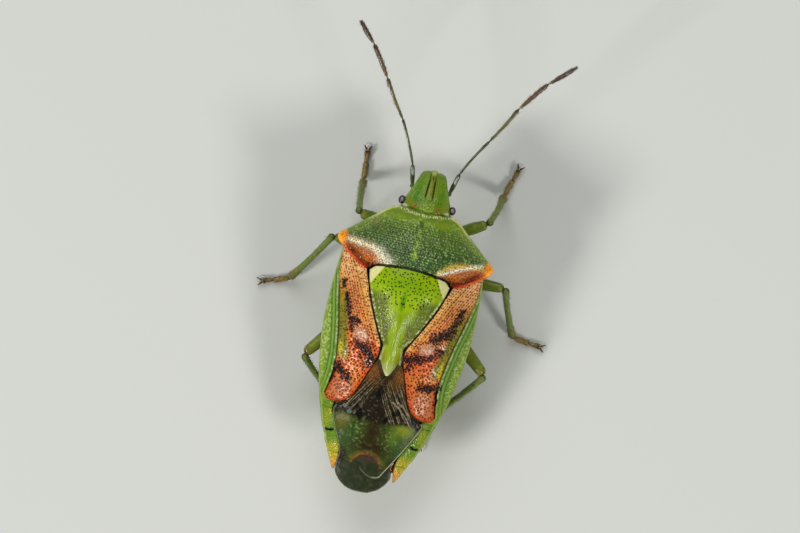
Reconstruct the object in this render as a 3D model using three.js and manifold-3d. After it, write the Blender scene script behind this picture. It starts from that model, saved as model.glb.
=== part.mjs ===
// Juniper shield bug, life size, as a still museum-type model.
// Millimetres. +X is the bug's right side, +Y is forward (towards the head), +Z is up.
// The six feet stand on z = 0. The body plates are modelled in a body frame whose
// origin lies on the midline between the two shoulder angles of the pronotum, and the
// whole animal is then shifted so that the middle of its footprint is the origin.

import * as THREE from 'three';
import { mergeVertices } from 'three/addons/utils/BufferGeometryUtils.js';
import Module from 'manifold-3d';

const wasm = await Module();
wasm.setup();

// ------------------------------------------------------------------ main sizes
const MODEL_CENTRE_Y = -0.43;      // body-frame y that becomes y = 0
const PLATE = 0.50;                // thickness of wings, shield and pronotum
const SEAM = 0.03;                 // open line between neighbouring plates
const LIMB_R = 0.25;               // half thickness of legs
const FEELER_R = 0.25;             // half thickness of feelers

const HEAD_TIP = 2.55;
const HEAD_FRONT = HEAD_TIP - 0.05; // where the rounded front begins
const HEAD_BASE = 1.31;
const PRONOTUM_FRONT = 1.20;       // front margin on the midline
const PRONOTUM_CORNER = [0.85, 1.31];
const HUMERAL = [2.41, 0.0];       // shoulder angle
const PRONOTUM_REAR = -0.47;       // hind margin on the midline
const SHIELD_BASE = -0.55;         // front edge of the scutellum on the midline
const SHIELD_TIP = -3.82;
const CORIUM_END = -5.0;
const MEMBRANE_START = -3.44;
const MEMBRANE_END = -6.95;
const BODY_END = -7.45;            // end of the folded wings
const ABDOMEN_POINT = [1.0, -6.9]; // pointed hind corner of the abdomen's rim

// [position along the body, value] at a few named stations
const RIDGE_Z = [[2.55, 2.30], [2.0, 2.64], [1.3, 3.02], [0.6, 3.50], [0, 3.78], [-0.5, 3.88], [-1.2, 3.92], [-2, 3.74], [-3, 3.42], [-4, 3.08], [-5.5, 2.66], [-7.5, 2.20]];
const WING_EDGE_Z = [[-0.3, 2.76], [-1.5, 2.50], [-3, 2.30], [-5, 2.12], [-7.5, 1.98]];
const PRONOTUM_EDGE_Z = [[1.31, 2.62], [0.88, 2.66], [0.35, 2.82], [0, 3.02], [-0.3, 2.98], [-0.82, 2.90]];
const WING_HALF = [[-0.3, 2.17], [-0.5, 2.20], [-1.5, 2.255], [-2.5, 2.26], [-3.5, 2.15], [-4.5, 1.94], [-5, 1.79], [-5.8, 1.52], [-6.5, 1.22], [-7.5, 0.95]];
const PRONOTUM_HALF = [[1.31, 0.85], [1.15, 1.2], [0.88, 1.45], [0.6, 1.8], [0.2, 2.28], [0, 2.41], [-0.3, 2.36], [-0.82, 2.25]];
const SHIELD_HALF = [[-0.72, 1.25], [-1.15, 1.16], [-1.5, 1.05], [-2, 0.83], [-2.5, 0.58], [-2.85, 0.40], [-3.2, 0.31], [-3.5, 0.24], [-3.72, 0.12], [-3.82, 0.04]];
const CORIUM_INNER = [[-0.88, 1.39], [-1.15, 1.20], [-1.5, 1.09], [-2, 0.87], [-2.5, 0.62], [-2.85, 0.44], [-3.2, 0.36], [-3.5, 0.47], [-4.1, 0.68], [-4.5, 0.88], [-4.92, 1.22]];
const MEMBRANE_OUTER = [[-3.44, 0.385], [-3.7, 0.50], [-4.1, 0.64], [-4.5, 0.84], [-4.82, 1.05], [-5.06, 1.29], [-5.4, 1.25], [-5.8, 1.15], [-6.1, 0.97], [-6.45, 0.80], [-6.85, 0.52], [-6.95, 0.42]];
const RIM_OUTER = [[-5.04, 1.77], [-5.4, 1.69], [-5.8, 1.52], [-6.1, 1.40], [-6.5, 1.22], [-6.9, 1.02]];
const RIM_INNER = [[-5.12, 1.34], [-5.4, 1.30], [-5.8, 1.20], [-6.1, 1.02], [-6.5, 0.90], [-6.88, 0.95]];
const HEAD_HALF = [[1.31, 0.64], [1.6, 0.67], [1.95, 0.58], [2.2, 0.50], [2.4, 0.42], [2.55, 0.26]];

// ------------------------------------------------------------------ small helpers
// smooth curve through a table of stations whose first column falls
const along = (table, v) => {
  const n = table.length;
  if (v >= table[0][0]) return table[0][1];
  if (v <= table[n - 1][0]) return table[n - 1][1];
  let i = 0;
  while (v < table[i + 1][0]) i++;
  const slope = (j) => {
    const a = Math.max(j - 1, 0), b = Math.min(j + 1, n - 1);
    return (table[b][1] - table[a][1]) / (table[b][0] - table[a][0]);
  };
  const h = table[i + 1][0] - table[i][0], t = (v - table[i][0]) / h;
  const t2 = t * t, t3 = t2 * t;
  return (2 * t3 - 3 * t2 + 1) * table[i][1] + (t3 - 2 * t2 + t) * h * slope(i)
    + (3 * t2 - 2 * t3) * table[i + 1][1] + (t3 - t2) * h * slope(i + 1);
};
const step = (a, b, x) => { const t = Math.min(Math.max((x - a) / (b - a), 0), 1); return t * t * (3 - 2 * t); };
const mix = (a, b, t) => a + (b - a) * t;
const bell = (x, w) => Math.exp(-(x * x) / (w * w));

// ------------------------------------------------------------------ heights of the back
const wingZ = (u, v) => {
  const r = Math.min(Math.abs(u) / along(WING_HALF, v), 1);
  const c = along(RIDGE_Z, v), e = along(WING_EDGE_Z, v);
  const sunk = 0.18 * step(-1.7, -0.8, v) * step(0.9, 1.5, Math.abs(u)) * (1 - step(1.7, 2.2, Math.abs(u)));
  return c - (c - e) * (0.8 * r * r + 0.2 * r ** 6) - sunk;
};
const pronotumZ = (u, v) => {
  const a = Math.abs(u), r = Math.min(a / along(PRONOTUM_HALF, v), 1);
  const c = along(RIDGE_Z, v), e = along(PRONOTUM_EDGE_Z, v);
  const behind = Math.max(0, (-0.42 + (a - 0.7) * 0.30) - v);
  return c - (c - e) * (0.75 * r * r + 0.25 * r ** 5) - 0.25 * step(0, 0.5, behind) * step(0.6, 1.1, a);
};
const shieldZ = (u, v) => {
  const r = Math.min(Math.abs(u) / along(SHIELD_HALF, v), 1);
  const keel = 0.07 * bell(u, 0.17) * (1 - step(-2.2, -1.6, v));
  return wingZ(u, v) - 0.13 * r ** 4 + 0.06 * bell(v + 1.15, 0.5) * (1 - r * r) + keel;
};
const headZ = (u, v) => {
  const r = Math.min(Math.abs(u) / along(HEAD_HALF, v), 1);
  return along(RIDGE_Z, v) - mix(0.34, 0.14, step(1.3, 2.5, v)) * r ** 2.4 + 0.02 * bell(u, 0.1);
};
const headUnderZ = (u, v) => {
  const r = Math.min(Math.abs(u) / along(HEAD_HALF, v), 1);
  const deep = mix(1.30, 0.46, step(1.35, 2.5, v));
  return headZ(u, v) - mix(deep, mix(0.40, 0.16, step(1.45, 1.9, v)), step(0.25, 0.95, r));
};

// ------------------------------------------------------------------ solids from functions
// A slab over a four-sided outline: left(t), right(t) run front to back, front(s) and
// back(s) run left to right; top and under give the heights. Starts from a divided box.
const slab = ({ left, right, front, back, top, under, across, lengthwise, ease = 0.6 }) => {
  const g = new THREE.BoxGeometry(1, 1, 1, across, lengthwise, 1);
  g.deleteAttribute('normal');
  g.deleteAttribute('uv');
  const p = g.attributes.position;
  const c00 = left(0), c10 = right(0), c01 = left(1), c11 = right(1);
  for (let i = 0; i < p.count; i++) {
    const raw = p.getX(i) + 0.5;
    const s = mix(raw, 0.5 - 0.5 * Math.cos(Math.PI * raw), ease);
    const t = 0.5 - p.getY(i);
    const L = left(t), R = right(t), F = front ? front(s) : null, B = back ? back(s) : null;
    const xy = [0, 1].map((k) => {
      const ruled = mix(L[k], R[k], s);
      const f = F ? F[k] - mix(c00[k], c10[k], s) : 0;
      const b = B ? B[k] - mix(c01[k], c11[k], s) : 0;
      return ruled + (1 - t) * f + t * b;
    });
    p.setXYZ(i, xy[0], xy[1], (p.getZ(i) > 0 ? top : under)(xy[0], xy[1]));
  }
  return mergeVertices(g, 1e-4);
};
// edge curve that follows a table of half widths between two positions
const edge = (table, v0, v1, side) => (t) => { const v = mix(v0, v1, t); return [side * along(table, v), v]; };

const toManifold = (g) => {
  const h = g.clone();
  for (const k of Object.keys(h.attributes)) if (k !== 'position') h.deleteAttribute(k);
  const m = mergeVertices(h, 1e-5);
  return new wasm.Manifold(new wasm.Mesh({ numProp: 3, vertProperties: new Float32Array(m.attributes.position.array), triVerts: new Uint32Array(m.index.array) }));
};
const fromManifold = (m) => {
  const r = m.getMesh(), g = new THREE.BufferGeometry();
  g.setAttribute('position', new THREE.BufferAttribute(new Float32Array(r.vertProperties), 3));
  g.setIndex(new THREE.BufferAttribute(new Uint32Array(r.triVerts), 1));
  return g;
};

// ------------------------------------------------------------------ scene graph
const bug = new THREE.Group();
const add = (name, geometry, color, roughness) => {
  const flat = geometry.index ? geometry : mergeVertices(geometry, 1e-4);
  flat.computeVertexNormals();
  const mesh = new THREE.Mesh(flat, new THREE.MeshStandardMaterial({ color, roughness, metalness: 0 }));
  mesh.name = name;
  mesh.position.y = -MODEL_CENTRE_Y;
  bug.add(mesh);
  return mesh;
};
const GREEN = 0x5d7f24, LIME = 0x93ad1c, ORANGE = 0xd9702c, MEMBRANE = 0x4a4a2c, DARK = 0x2c1c20, LEG = 0x7c9440, FEELER = 0x4a3a26, YELLOW = 0xa8ac28;

// pronotum: domed, with pointed shoulder angles and a steep slope behind them
const pronotumSide = (side) => (t) => {
  // corner, straight front flank, shoulder angle, hollow hind flank, inner hind corner
  const pts = [[0.85, 1.31], [1.45, 0.88], [2.1, 0.33], [HUMERAL[0], 0.02], [2.22, -0.29], [1.98, -0.50], [1.64, -0.73], [1.36, -0.83]];
  const x = t * (pts.length - 1), i = Math.min(Math.floor(x), pts.length - 2), f = x - i;
  const q = (k) => pts[Math.min(Math.max(k, 0), pts.length - 1)];
  const cr = (k) => 0.5 * (2 * q(i)[k] + (q(i + 1)[k] - q(i - 1)[k]) * f + (2 * q(i - 1)[k] - 5 * q(i)[k] + 4 * q(i + 1)[k] - q(i + 2)[k]) * f * f + (3 * q(i)[k] - q(i - 1)[k] - 3 * q(i + 1)[k] + q(i + 2)[k]) * f ** 3);
  return [side * cr(0), cr(1)];
};
const frontMargin = (u) => PRONOTUM_FRONT + (PRONOTUM_CORNER[1] - PRONOTUM_FRONT) * (Math.abs(u) / PRONOTUM_CORNER[0]) ** 1.6;
const hindMargin = (u) => { const a = Math.abs(u); return PRONOTUM_REAR - 0.12 * (a / 1.1) ** 2 - 0.16 * step(1.18, 1.36, a); };
add('pronotum', slab({
  left: pronotumSide(-1), right: pronotumSide(1),
  front: (s) => { const u = mix(-0.85, 0.85, s); return [u, frontMargin(u)]; },
  back: (s) => { const u = mix(-1.36, 1.36, s); return [u, hindMargin(u)]; },
  top: pronotumZ, under: (u, v) => pronotumZ(u, v) - PLATE, across: 20, lengthwise: 11, ease: 0.3,
}), GREEN, 0.35);

// scutellum: triangle with a swollen base, a keel and a rounded spoon-like tip
add('scutellum', slab({
  left: edge(SHIELD_HALF, -0.74, SHIELD_TIP, -1), right: edge(SHIELD_HALF, -0.74, SHIELD_TIP, 1),
  front: (s) => { const u = mix(-1.25, 1.25, s), a = Math.abs(u); return [u, SHIELD_BASE - 0.12 * (a / 1.1) ** 2 - 0.05 * step(1.0, 1.25, a)]; },
  back: null, top: shieldZ, under: (u, v) => shieldZ(u, v) - PLATE, across: 10, lengthwise: 16,
}), LIME, 0.35);

// leathery front part of each folded forewing
for (const [side, tag] of [[-1, 'left'], [1, 'right']]) {
  const outer = (t) => { const v = mix(-0.37, CORIUM_END, t); return [side * along(WING_HALF, v), v]; };
  const inner = (t) => { const v = mix(-0.90, -4.92, t); return [side * along(CORIUM_INNER, v), v]; };
  const front = (s0) => {
    const s = side > 0 ? s0 : 1 - s0, u = mix(1.385, 2.172, s);
    return [side * u, mix(-0.90, -0.37, s) + 0.035 - 0.11 * s * (1 - s) - 0.035 * (s * s + (1 - s) ** 2)];
  };
  add(`corium_${tag}`, slab({
    left: side > 0 ? inner : outer, right: side > 0 ? outer : inner, front, back: null,
    top: wingZ, under: (u, v) => wingZ(u, v) - PLATE, across: 7, lengthwise: 20,
  }), ORANGE, 0.4);

  // membranous hind part of the forewing, and the abdomen's rim beside it
  const mOuter = edge(MEMBRANE_OUTER, MEMBRANE_START, MEMBRANE_END, side);
  const mInner = (t) => {
    const v = mix(MEMBRANE_START, MEMBRANE_END, t);
    return [side * Math.max(0.02, v > SHIELD_TIP - 0.05 ? along(SHIELD_HALF, v) + 0.045 : 0.02), v];
  };
  add(`membrane_${tag}`, slab({
    left: side > 0 ? mInner : mOuter, right: side > 0 ? mOuter : mInner, front: null, back: null,
    top: (u, v) => wingZ(u, v) - 0.02, under: (u, v) => wingZ(u, v) - 0.02 - PLATE, across: 5, lengthwise: 15, ease: 0.2,
  }), MEMBRANE, 0.3);
  const rOuter = edge(RIM_OUTER, -5.04, ABDOMEN_POINT[1], side), rInner = edge(RIM_INNER, -5.12, -6.88, side);
  add(`connexivum_${tag}`, slab({
    left: side > 0 ? rInner : rOuter, right: side > 0 ? rOuter : rInner, front: null, back: null,
    top: (u, v) => wingZ(u, v) - 0.04, under: (u, v) => wingZ(u, v) - 0.04 - PLATE, across: 3, lengthwise: 9, ease: 0.2,
  }), YELLOW, 0.4);
}

// end of the lower membrane, which reaches past the upper one and the abdomen
const LOBE_HALF = 0.88;
add('membrane_end', slab({
  left: (t) => [-LOBE_HALF + 0.06 * t, mix(-6.72, -6.92, t)], right: (t) => [LOBE_HALF - 0.06 * t, mix(-6.72, -6.92, t)],
  front: (s) => { const u = mix(-LOBE_HALF, LOBE_HALF, s); return [u, MEMBRANE_END - 0.04 + 0.27 * (Math.abs(u) / LOBE_HALF) ** 2.2]; },
  back: (s) => { const q = Math.PI * s; return [-(LOBE_HALF - 0.06) * Math.cos(q), -6.92 + (BODY_END + 6.92) * Math.sin(q) ** 0.9]; },
  top: (u, v) => wingZ(u, v) - 0.04, under: (u, v) => wingZ(u, v) - 0.04 - PLATE, across: 10, lengthwise: 3, ease: 0,
}), MEMBRANE, 0.3);

// thorax: the sides and underside of the middle body, below the plates
const THORAX_HALF = [[1.2, 0.80], [0.88, 1.28], [0.4, 1.80], [0, 2.06], [-0.6, 2.08], [-1.88, 2.10]];
const THORAX_KEEL_Z = [[1.2, 1.66], [0.6, 1.47], [-0.2, 1.40], [-1.88, 1.36]];
const thoraxTop = (u, v) => Math.min(v > -0.9 ? pronotumZ(u, v) : 9, v < -0.3 ? Math.min(wingZ(u, v), Math.abs(u) < 1.25 ? shieldZ(u, Math.min(v, -0.72)) : 9) : 9) - PLATE - 0.16;
const thoraxUnder = (u, v) => {
  const r = Math.min(Math.abs(u) / along(THORAX_HALF, v), 1), k = along(THORAX_KEEL_Z, v);
  return mix(k, thoraxTop(u, v) - 0.12, r ** 1.8);
};
add('thorax', slab({
  left: edge(THORAX_HALF, 1.2, -1.88, -1), right: edge(THORAX_HALF, 1.2, -1.88, 1), front: (s) => [mix(-0.8, 0.8, s), 1.2 - 0.06 * Math.sin(Math.PI * s)], back: null,
  top: thoraxTop, under: thoraxUnder, across: 14, lengthwise: 10, ease: 0.4,
}), GREEN, 0.4);

// abdomen: keeled below, narrowing to the tail, under the folded wings
const ABDOMEN_HALF = [[-1.93, 2.10], [-3, 2.08], [-4, 1.93], [-5, 1.66], [-5.8, 1.38], [-6.4, 1.10], [-6.62, 0.80]];
const ABDOMEN_KEEL_Z = [[-1.93, 1.12], [-3, 1.0], [-4.2, 1.02], [-5.4, 1.20], [-6.62, 1.52]];
const abdomenTop = (u, v) => wingZ(u, v) - PLATE - 0.09;
const abdomenUnder = (u, v) => {
  const r = Math.min(Math.abs(u) / along(ABDOMEN_HALF, v), 1);
  return Math.min(mix(along(ABDOMEN_KEEL_Z, v), abdomenTop(u, v) - 0.10, r ** 1.5), abdomenTop(u, v) - 0.10);
};
add('abdomen', slab({
  left: edge(ABDOMEN_HALF, -1.93, -6.62, -1), right: edge(ABDOMEN_HALF, -1.93, -6.62, 1), front: null, back: (s) => [mix(-0.8, 0.8, s), -6.62 + 0.16 * Math.sin(Math.PI * s)],
  top: abdomenTop, under: abdomenUnder, across: 14, lengthwise: 13, ease: 0.4,
}), LIME, 0.4);

// head: flat-topped wedge, bent down a little, deepest at the beak's root
add('head', slab({
  left: edge(HEAD_HALF, HEAD_FRONT, HEAD_BASE, -1), right: edge(HEAD_HALF, HEAD_FRONT, HEAD_BASE, 1), back: null,
  front: (s) => [mix(-0.34, 0.34, s), HEAD_FRONT + (HEAD_TIP - HEAD_FRONT) * Math.sin(Math.PI * s) ** 0.5],
  top: headZ, under: headUnderZ, across: 12, lengthwise: 10, ease: 0.3,
}), GREEN, 0.35);
for (const [side, tag] of [[-1, 'left'], [1, 'right']]) {
  const eye = new THREE.SphereGeometry(1, 12, 8);
  eye.scale(0.10, 0.135, 0.15);
  eye.translate(side * 0.79, 1.49, 2.50);
  eye.deleteAttribute('normal'); eye.deleteAttribute('uv');
  add(`eye_${tag}`, mergeVertices(eye, 1e-4), DARK, 0.15);
}

// beak, folded back under the head and thorax between the legs
{
  const path = [[0, 1.92, 1.50], [0, 1.30, 1.16], [0, 0.4, 1.09], [0, -0.75, 1.06]].map((q) => new THREE.Vector3(...q));
  const shape = new THREE.Shape();
  for (let i = 0; i < 8; i++) {
    const a = Math.PI * 2 * i / 8;
    shape[i ? 'lineTo' : 'moveTo'](0.19 * Math.cos(a), 0.19 * Math.sin(a));
  }
  shape.closePath();
  const beak = new THREE.ExtrudeGeometry(shape, { steps: 8, bevelEnabled: false, extrudePath: new THREE.CatmullRomCurve3(path) });
  beak.deleteAttribute('normal'); beak.deleteAttribute('uv');
  add('rostrum', mergeVertices(beak, 1e-4), LEG, 0.4);
}

// ------------------------------------------------------------------ limbs
// a turned piece between two points, with radii at equal steps along it
const spindle = (a, b, radii, sides) => {
  const A = new THREE.Vector3(...a), B = new THREE.Vector3(...b), len = A.distanceTo(B);
  const profile = [new THREE.Vector2(0, 0)];
  radii.forEach((r, i) => profile.push(new THREE.Vector2(r, len * (i + (i === 0 ? 0.12 : 0) - (i === radii.length - 1 ? 0.12 : 0)) / (radii.length - 1))));
  profile[1].y = 0.03; profile[radii.length].y = len - 0.03;
  profile.push(new THREE.Vector2(0, len));
  const g = new THREE.LatheGeometry(profile, sides);
  g.deleteAttribute('normal'); g.deleteAttribute('uv');
  const m = mergeVertices(g, 1e-4);
  m.applyQuaternion(new THREE.Quaternion().setFromUnitVectors(new THREE.Vector3(0, 1, 0), B.clone().sub(A).normalize()));
  m.translate(...a);
  return m;
};
const toward = (a, b, d) => { const A = new THREE.Vector3(...a), B = new THREE.Vector3(...b); return A.add(B.sub(A).setLength(d)).toArray(); };
const cutBy = (g, others) => {
  let m = toManifold(g);
  for (const o of others) m = m.subtract(toManifold(o));
  return fromManifold(m);
};

// feelers of five joints; x outward, y forward, z up at the ends of each joint
const FEELERS = {
  left: [[0.58, 1.98, 2.03], [0.71, 2.58, 2.34], [1.32, 3.84, 2.66], [2.05, 4.93, 2.88], [2.68, 5.84, 2.98], [3.25, 6.45, 2.98]],
  right: [[0.58, 1.98, 2.03], [0.74, 2.62, 2.34], [1.39, 3.79, 2.66], [2.02, 4.93, 2.88], [2.71, 5.87, 2.98], [3.46, 6.59, 2.98]],
};
for (const [side, tag] of [[-1, 'left'], [1, 'right']]) {
  const j = FEELERS[tag].map(([x, y, z]) => [side * x, y, z]);
  for (let i = 0; i < 5; i++) {
    const a = i ? toward(j[i], j[i + 1], SEAM) : j[i], b = i < 4 ? toward(j[i + 1], j[i], i ? 0.05 : 0.03) : j[i + 1];
    const R = FEELER_R, radii = i === 0 ? [0.10, 0.12, 0.17, 0.17] : i === 1 ? [0.15, R, R, R, 0.19] : i === 4 ? [0.17, R, R, R, 0.12] : [0.17, R, R, R, 0.19];
    add(`antenna_${tag}_${i + 1}`, spindle(a, b, radii, 8), FEELER, 0.5);
  }
}

// legs: hip, knee, ankle and toe; outward, forward, up. Left and right differ as the bug stands.
const HIP_Z = 1.20;
const LEGS = {
  left_front: { hip: [0.60, 0.60, HIP_Z], knee: [1.95, 0.80, 1.90], ankle: [2.06, 1.78, 0.30], toe: [2.16, 2.86] },
  left_middle: { hip: [0.70, -0.50, HIP_Z], knee: [2.55, -0.05, 1.92], ankle: [3.56, -1.62, 0.30], toe: [4.50, -1.96] },
  left_hind: { hip: [0.76, -1.40, 1.12], knee: [2.60, -3.78, 1.66], ankle: [1.20, -5.02, 0.30], toe: [1.02, -6.12] },
  right_front: { hip: [0.60, 0.60, HIP_Z], knee: [1.95, 1.36, 1.90], ankle: [2.22, 2.30, 0.30], toe: [2.52, 3.34] },
  right_middle: { hip: [0.70, -0.50, HIP_Z], knee: [2.90, -0.44, 2.02], ankle: [3.46, -1.80, 0.30], toe: [4.50, -1.94] },
  right_hind: { hip: [0.76, -1.40, 1.12], knee: [2.90, -3.16, 1.66], ankle: [1.60, -4.72, 0.30], toe: [1.46, -5.84] },
};
const FOOT_H = 0.50, FOOT_HALF = 0.25;
for (const [tag, L] of Object.entries(LEGS)) {
  const side = tag.startsWith('left') ? -1 : 1;
  const P = (q) => [side * q[0], q[1], q[2]];
  const hip = P(L.hip), knee = P(L.knee), ankle = P(L.ankle), toe = [side * L.toe[0], L.toe[1], 0.30];
  const femurStart = toward(hip, knee, 0.34);
  const coxaTop = [hip[0] * 0.80, hip[1], hip[2] + 0.02];
  const coxa = spindle(coxaTop, toward(hip, knee, 0.30), [0.15, 0.20, 0.20, 0.15], 8);
  const femur = spindle(femurStart, knee, [0.16, LIMB_R, LIMB_R + 0.02, LIMB_R, 0.20], 10);
  const femurWide = spindle(toward(femurStart, knee, -0.03), toward(knee, femurStart, -0.03), [0.19, LIMB_R + 0.03, LIMB_R + 0.05, LIMB_R + 0.03, 0.23], 10);
  const tibia = cutBy(spindle(knee, ankle, [0.20, LIMB_R, LIMB_R, LIMB_R, 0.20], 8), [femurWide]);
  add(`coxa_${tag}`, coxa, LEG, 0.4);
  add(`femur_${tag}`, femur, LEG, 0.35);
  add(`tibia_${tag}`, tibia, LEG, 0.35);
  // foot: two joints and a pair of claws, drawn in plan and flat below
  const d = new THREE.Vector2(toe[0] - ankle[0], toe[1] - ankle[1]), len = d.length(), turn = Math.atan2(d.y, d.x);
  const W = FOOT_HALF, a = 0.245, waist = a + (len - a) * 0.42, claw = len - 0.16;
  const foot = new THREE.Shape();
  foot.moveTo(a, -W * 0.8);
  foot.lineTo(a + 0.08, -W); foot.lineTo(waist - 0.06, -W); foot.lineTo(waist, -W * 0.78); foot.lineTo(waist + 0.06, -W);
  foot.lineTo(claw - 0.12, -W); foot.lineTo(len, -W * 0.86); foot.lineTo(claw, -W * 0.12); foot.lineTo(claw, W * 0.12); foot.lineTo(len, W * 0.86);
  foot.lineTo(claw - 0.12, W); foot.lineTo(waist + 0.06, W); foot.lineTo(waist, W * 0.78); foot.lineTo(waist - 0.06, W); foot.lineTo(a + 0.08, W);
  foot.lineTo(a, W * 0.8);
  foot.closePath();
  const sole = new THREE.ExtrudeGeometry(foot, { depth: FOOT_H, bevelEnabled: false, steps: 1 });
  sole.deleteAttribute('normal'); sole.deleteAttribute('uv');
  const s = mergeVertices(sole, 1e-4);
  s.rotateZ(turn);
  s.translate(ankle[0], ankle[1], 0);
  add(`tarsus_${tag}`, s, LEG, 0.5);
}

export default bug;
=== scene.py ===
# Looks of a life-size juniper shield bug: fine surfaces, markings, hairs, studio.
# Shapes are worked out in millimetres in the body frame (u to the right, v forward,
# z up, zero between the shoulder angles) and written in metres in the model's frame.
import bpy, math
import numpy as np
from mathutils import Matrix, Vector


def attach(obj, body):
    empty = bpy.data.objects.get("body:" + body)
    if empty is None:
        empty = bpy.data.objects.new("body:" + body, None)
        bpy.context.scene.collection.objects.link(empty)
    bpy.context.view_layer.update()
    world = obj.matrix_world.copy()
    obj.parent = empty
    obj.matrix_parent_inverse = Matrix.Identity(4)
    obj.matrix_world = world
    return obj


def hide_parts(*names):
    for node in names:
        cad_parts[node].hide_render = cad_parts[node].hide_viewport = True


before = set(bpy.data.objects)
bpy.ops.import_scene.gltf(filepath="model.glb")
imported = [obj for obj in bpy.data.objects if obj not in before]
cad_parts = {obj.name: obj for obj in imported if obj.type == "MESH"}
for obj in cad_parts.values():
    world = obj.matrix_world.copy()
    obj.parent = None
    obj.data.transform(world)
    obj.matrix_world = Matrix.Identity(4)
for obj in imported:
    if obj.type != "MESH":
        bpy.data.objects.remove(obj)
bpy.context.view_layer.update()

MM = 0.001
CENTRE_Y = -0.43
rng = np.random.default_rng(7)

# ------------------------------------------------------------------ colour and maths helpers
def C(r, g, b, gain=1.0):
    c = np.array([r, g, b], float) / 255.0
    lin = np.where(c <= 0.04045, c / 12.92, ((c + 0.055) / 1.055) ** 2.4)
    return np.clip(lin * gain, 0, 1)

def smooth(a, b, x):
    t = np.clip((np.asarray(x, float) - a) / (b - a), 0, 1)
    return t * t * (3 - 2 * t)

def mix(a, b, t):
    return a + (b - a) * t

def bell(x, w):
    return np.exp(-(x / w) ** 2)

def table(rows):
    a = np.array(sorted(rows, key=lambda r: -r[0]), float)
    x, y, n = -a[:, 0], a[:, 1], len(a)
    m = np.array([(y[min(j + 1, n - 1)] - y[max(j - 1, 0)]) / (x[min(j + 1, n - 1)] - x[max(j - 1, 0)]) for j in range(n)])
    def f(v):
        q = np.clip(-np.asarray(v, float), x[0], x[-1])
        i = np.clip(np.searchsorted(x, q, side="right") - 1, 0, n - 2)
        h = x[i + 1] - x[i]
        t = (q - x[i]) / h
        t2, t3 = t * t, t * t * t
        return (2 * t3 - 3 * t2 + 1) * y[i] + (t3 - 2 * t2 + t) * h * m[i] + (3 * t2 - 2 * t3) * y[i + 1] + (t3 - t2) * h * m[i + 1]
    return f

def vnoise(U, V, scale, seed=0, octaves=2):
    """smooth value noise in 0..1 over the plan, feature size scale (mm)"""
    out, amp, tot = 0.0, 1.0, 0.0
    for o in range(octaves):
        s = scale / (2 ** o)
        x, y = np.asarray(U) / s + 137.3 + seed * 17.7, np.asarray(V) / s + 91.1 + seed * 7.3
        xi, yi = np.floor(x).astype(np.int64), np.floor(y).astype(np.int64)
        xf, yf = x - xi, y - yi
        xf, yf = xf * xf * (3 - 2 * xf), yf * yf * (3 - 2 * yf)
        def h(a, b):
            n = (a * 374761393 + b * 668265263 + seed * 1442695041 + o * 97) & 0xFFFFFFFF
            n = ((n ^ (n >> 13)) * 1274126177) & 0xFFFFFFFF
            return ((n ^ (n >> 16)) & 0xFFFF) / 65535.0
        v = (h(xi, yi) * (1 - xf) + h(xi + 1, yi) * xf) * (1 - yf) + (h(xi, yi + 1) * (1 - xf) + h(xi + 1, yi + 1) * xf) * yf
        out, tot, amp = out + v * amp, tot + amp, amp * 0.5
    return out / tot

def line_dist(U, V, pts):
    """distance to a polyline, and how far along it (0..1)"""
    pts = np.array(pts, float)
    best = np.full(np.shape(U), 1e9)
    where = np.zeros(np.shape(U))
    seg = np.hypot(*(pts[1:] - pts[:-1]).T)
    acc = np.concatenate([[0], np.cumsum(seg)]) / seg.sum()
    for k in range(len(pts) - 1):
        a, d = pts[k], pts[k + 1] - pts[k]
        t = np.clip(((U - a[0]) * d[0] + (V - a[1]) * d[1]) / (d @ d), 0, 1)
        r = np.hypot(U - a[0] - t * d[0], V - a[1] - t * d[1])
        hit = r < best
        best = np.where(hit, r, best)
        where = np.where(hit, acc[k] + t * (acc[k + 1] - acc[k]), where)
    return best, where

def blob(U, V, cu, cv, ru, rv, turn=0.0, soft=0.35):
    c, s = math.cos(turn), math.sin(turn)
    a, b = (U - cu) * c + (V - cv) * s, -(U - cu) * s + (V - cv) * c
    return 1 - smooth(1 - soft, 1 + soft, np.hypot(a / ru, b / rv))

def scatter(u0, u1, v0, v1, gap, jitter=0.35, rows=False, seed=1):
    r = np.random.default_rng(seed)
    nu, nv = int((u1 - u0) / gap) + 2, int((v1 - v0) / (gap * 0.87)) + 2
    g = np.array([[u0 + (i + 0.5 * (j % 2)) * gap, v0 + j * gap * 0.87] for j in range(nv) for i in range(nu)])
    g[:, 0] += r.uniform(-jitter, jitter, len(g)) * gap
    g[:, 1] += r.uniform(-jitter, jitter, len(g)) * gap * (0.5 if rows else 1.0)
    return g

def splat(U, V, pts, radius, power=2.0):
    """largest of soft dots of the given radii, 0..1"""
    out = np.zeros(U.size, np.float32)
    u, v = U.ravel().astype(np.float32), V.ravel().astype(np.float32)
    radius = np.broadcast_to(np.asarray(radius, np.float32), (len(pts),))
    order = np.argsort(v)
    vs = v[order]
    for (pu, pv), r in zip(np.asarray(pts, np.float32), radius):
        a, b = np.searchsorted(vs, pv - 2 * r), np.searchsorted(vs, pv + 2 * r)
        k = order[a:b]
        k = k[np.abs(u[k] - pu) < 2 * r]
        if len(k):
            d = np.hypot(u[k] - pu, v[k] - pv) / r
            out[k] = np.maximum(out[k], np.exp(-d ** power * 1.4))
    return out.reshape(U.shape)

def layer(col, colour, mask):
    return col + (np.asarray(colour) - col) * np.clip(mask, 0, 1)[..., None]

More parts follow.
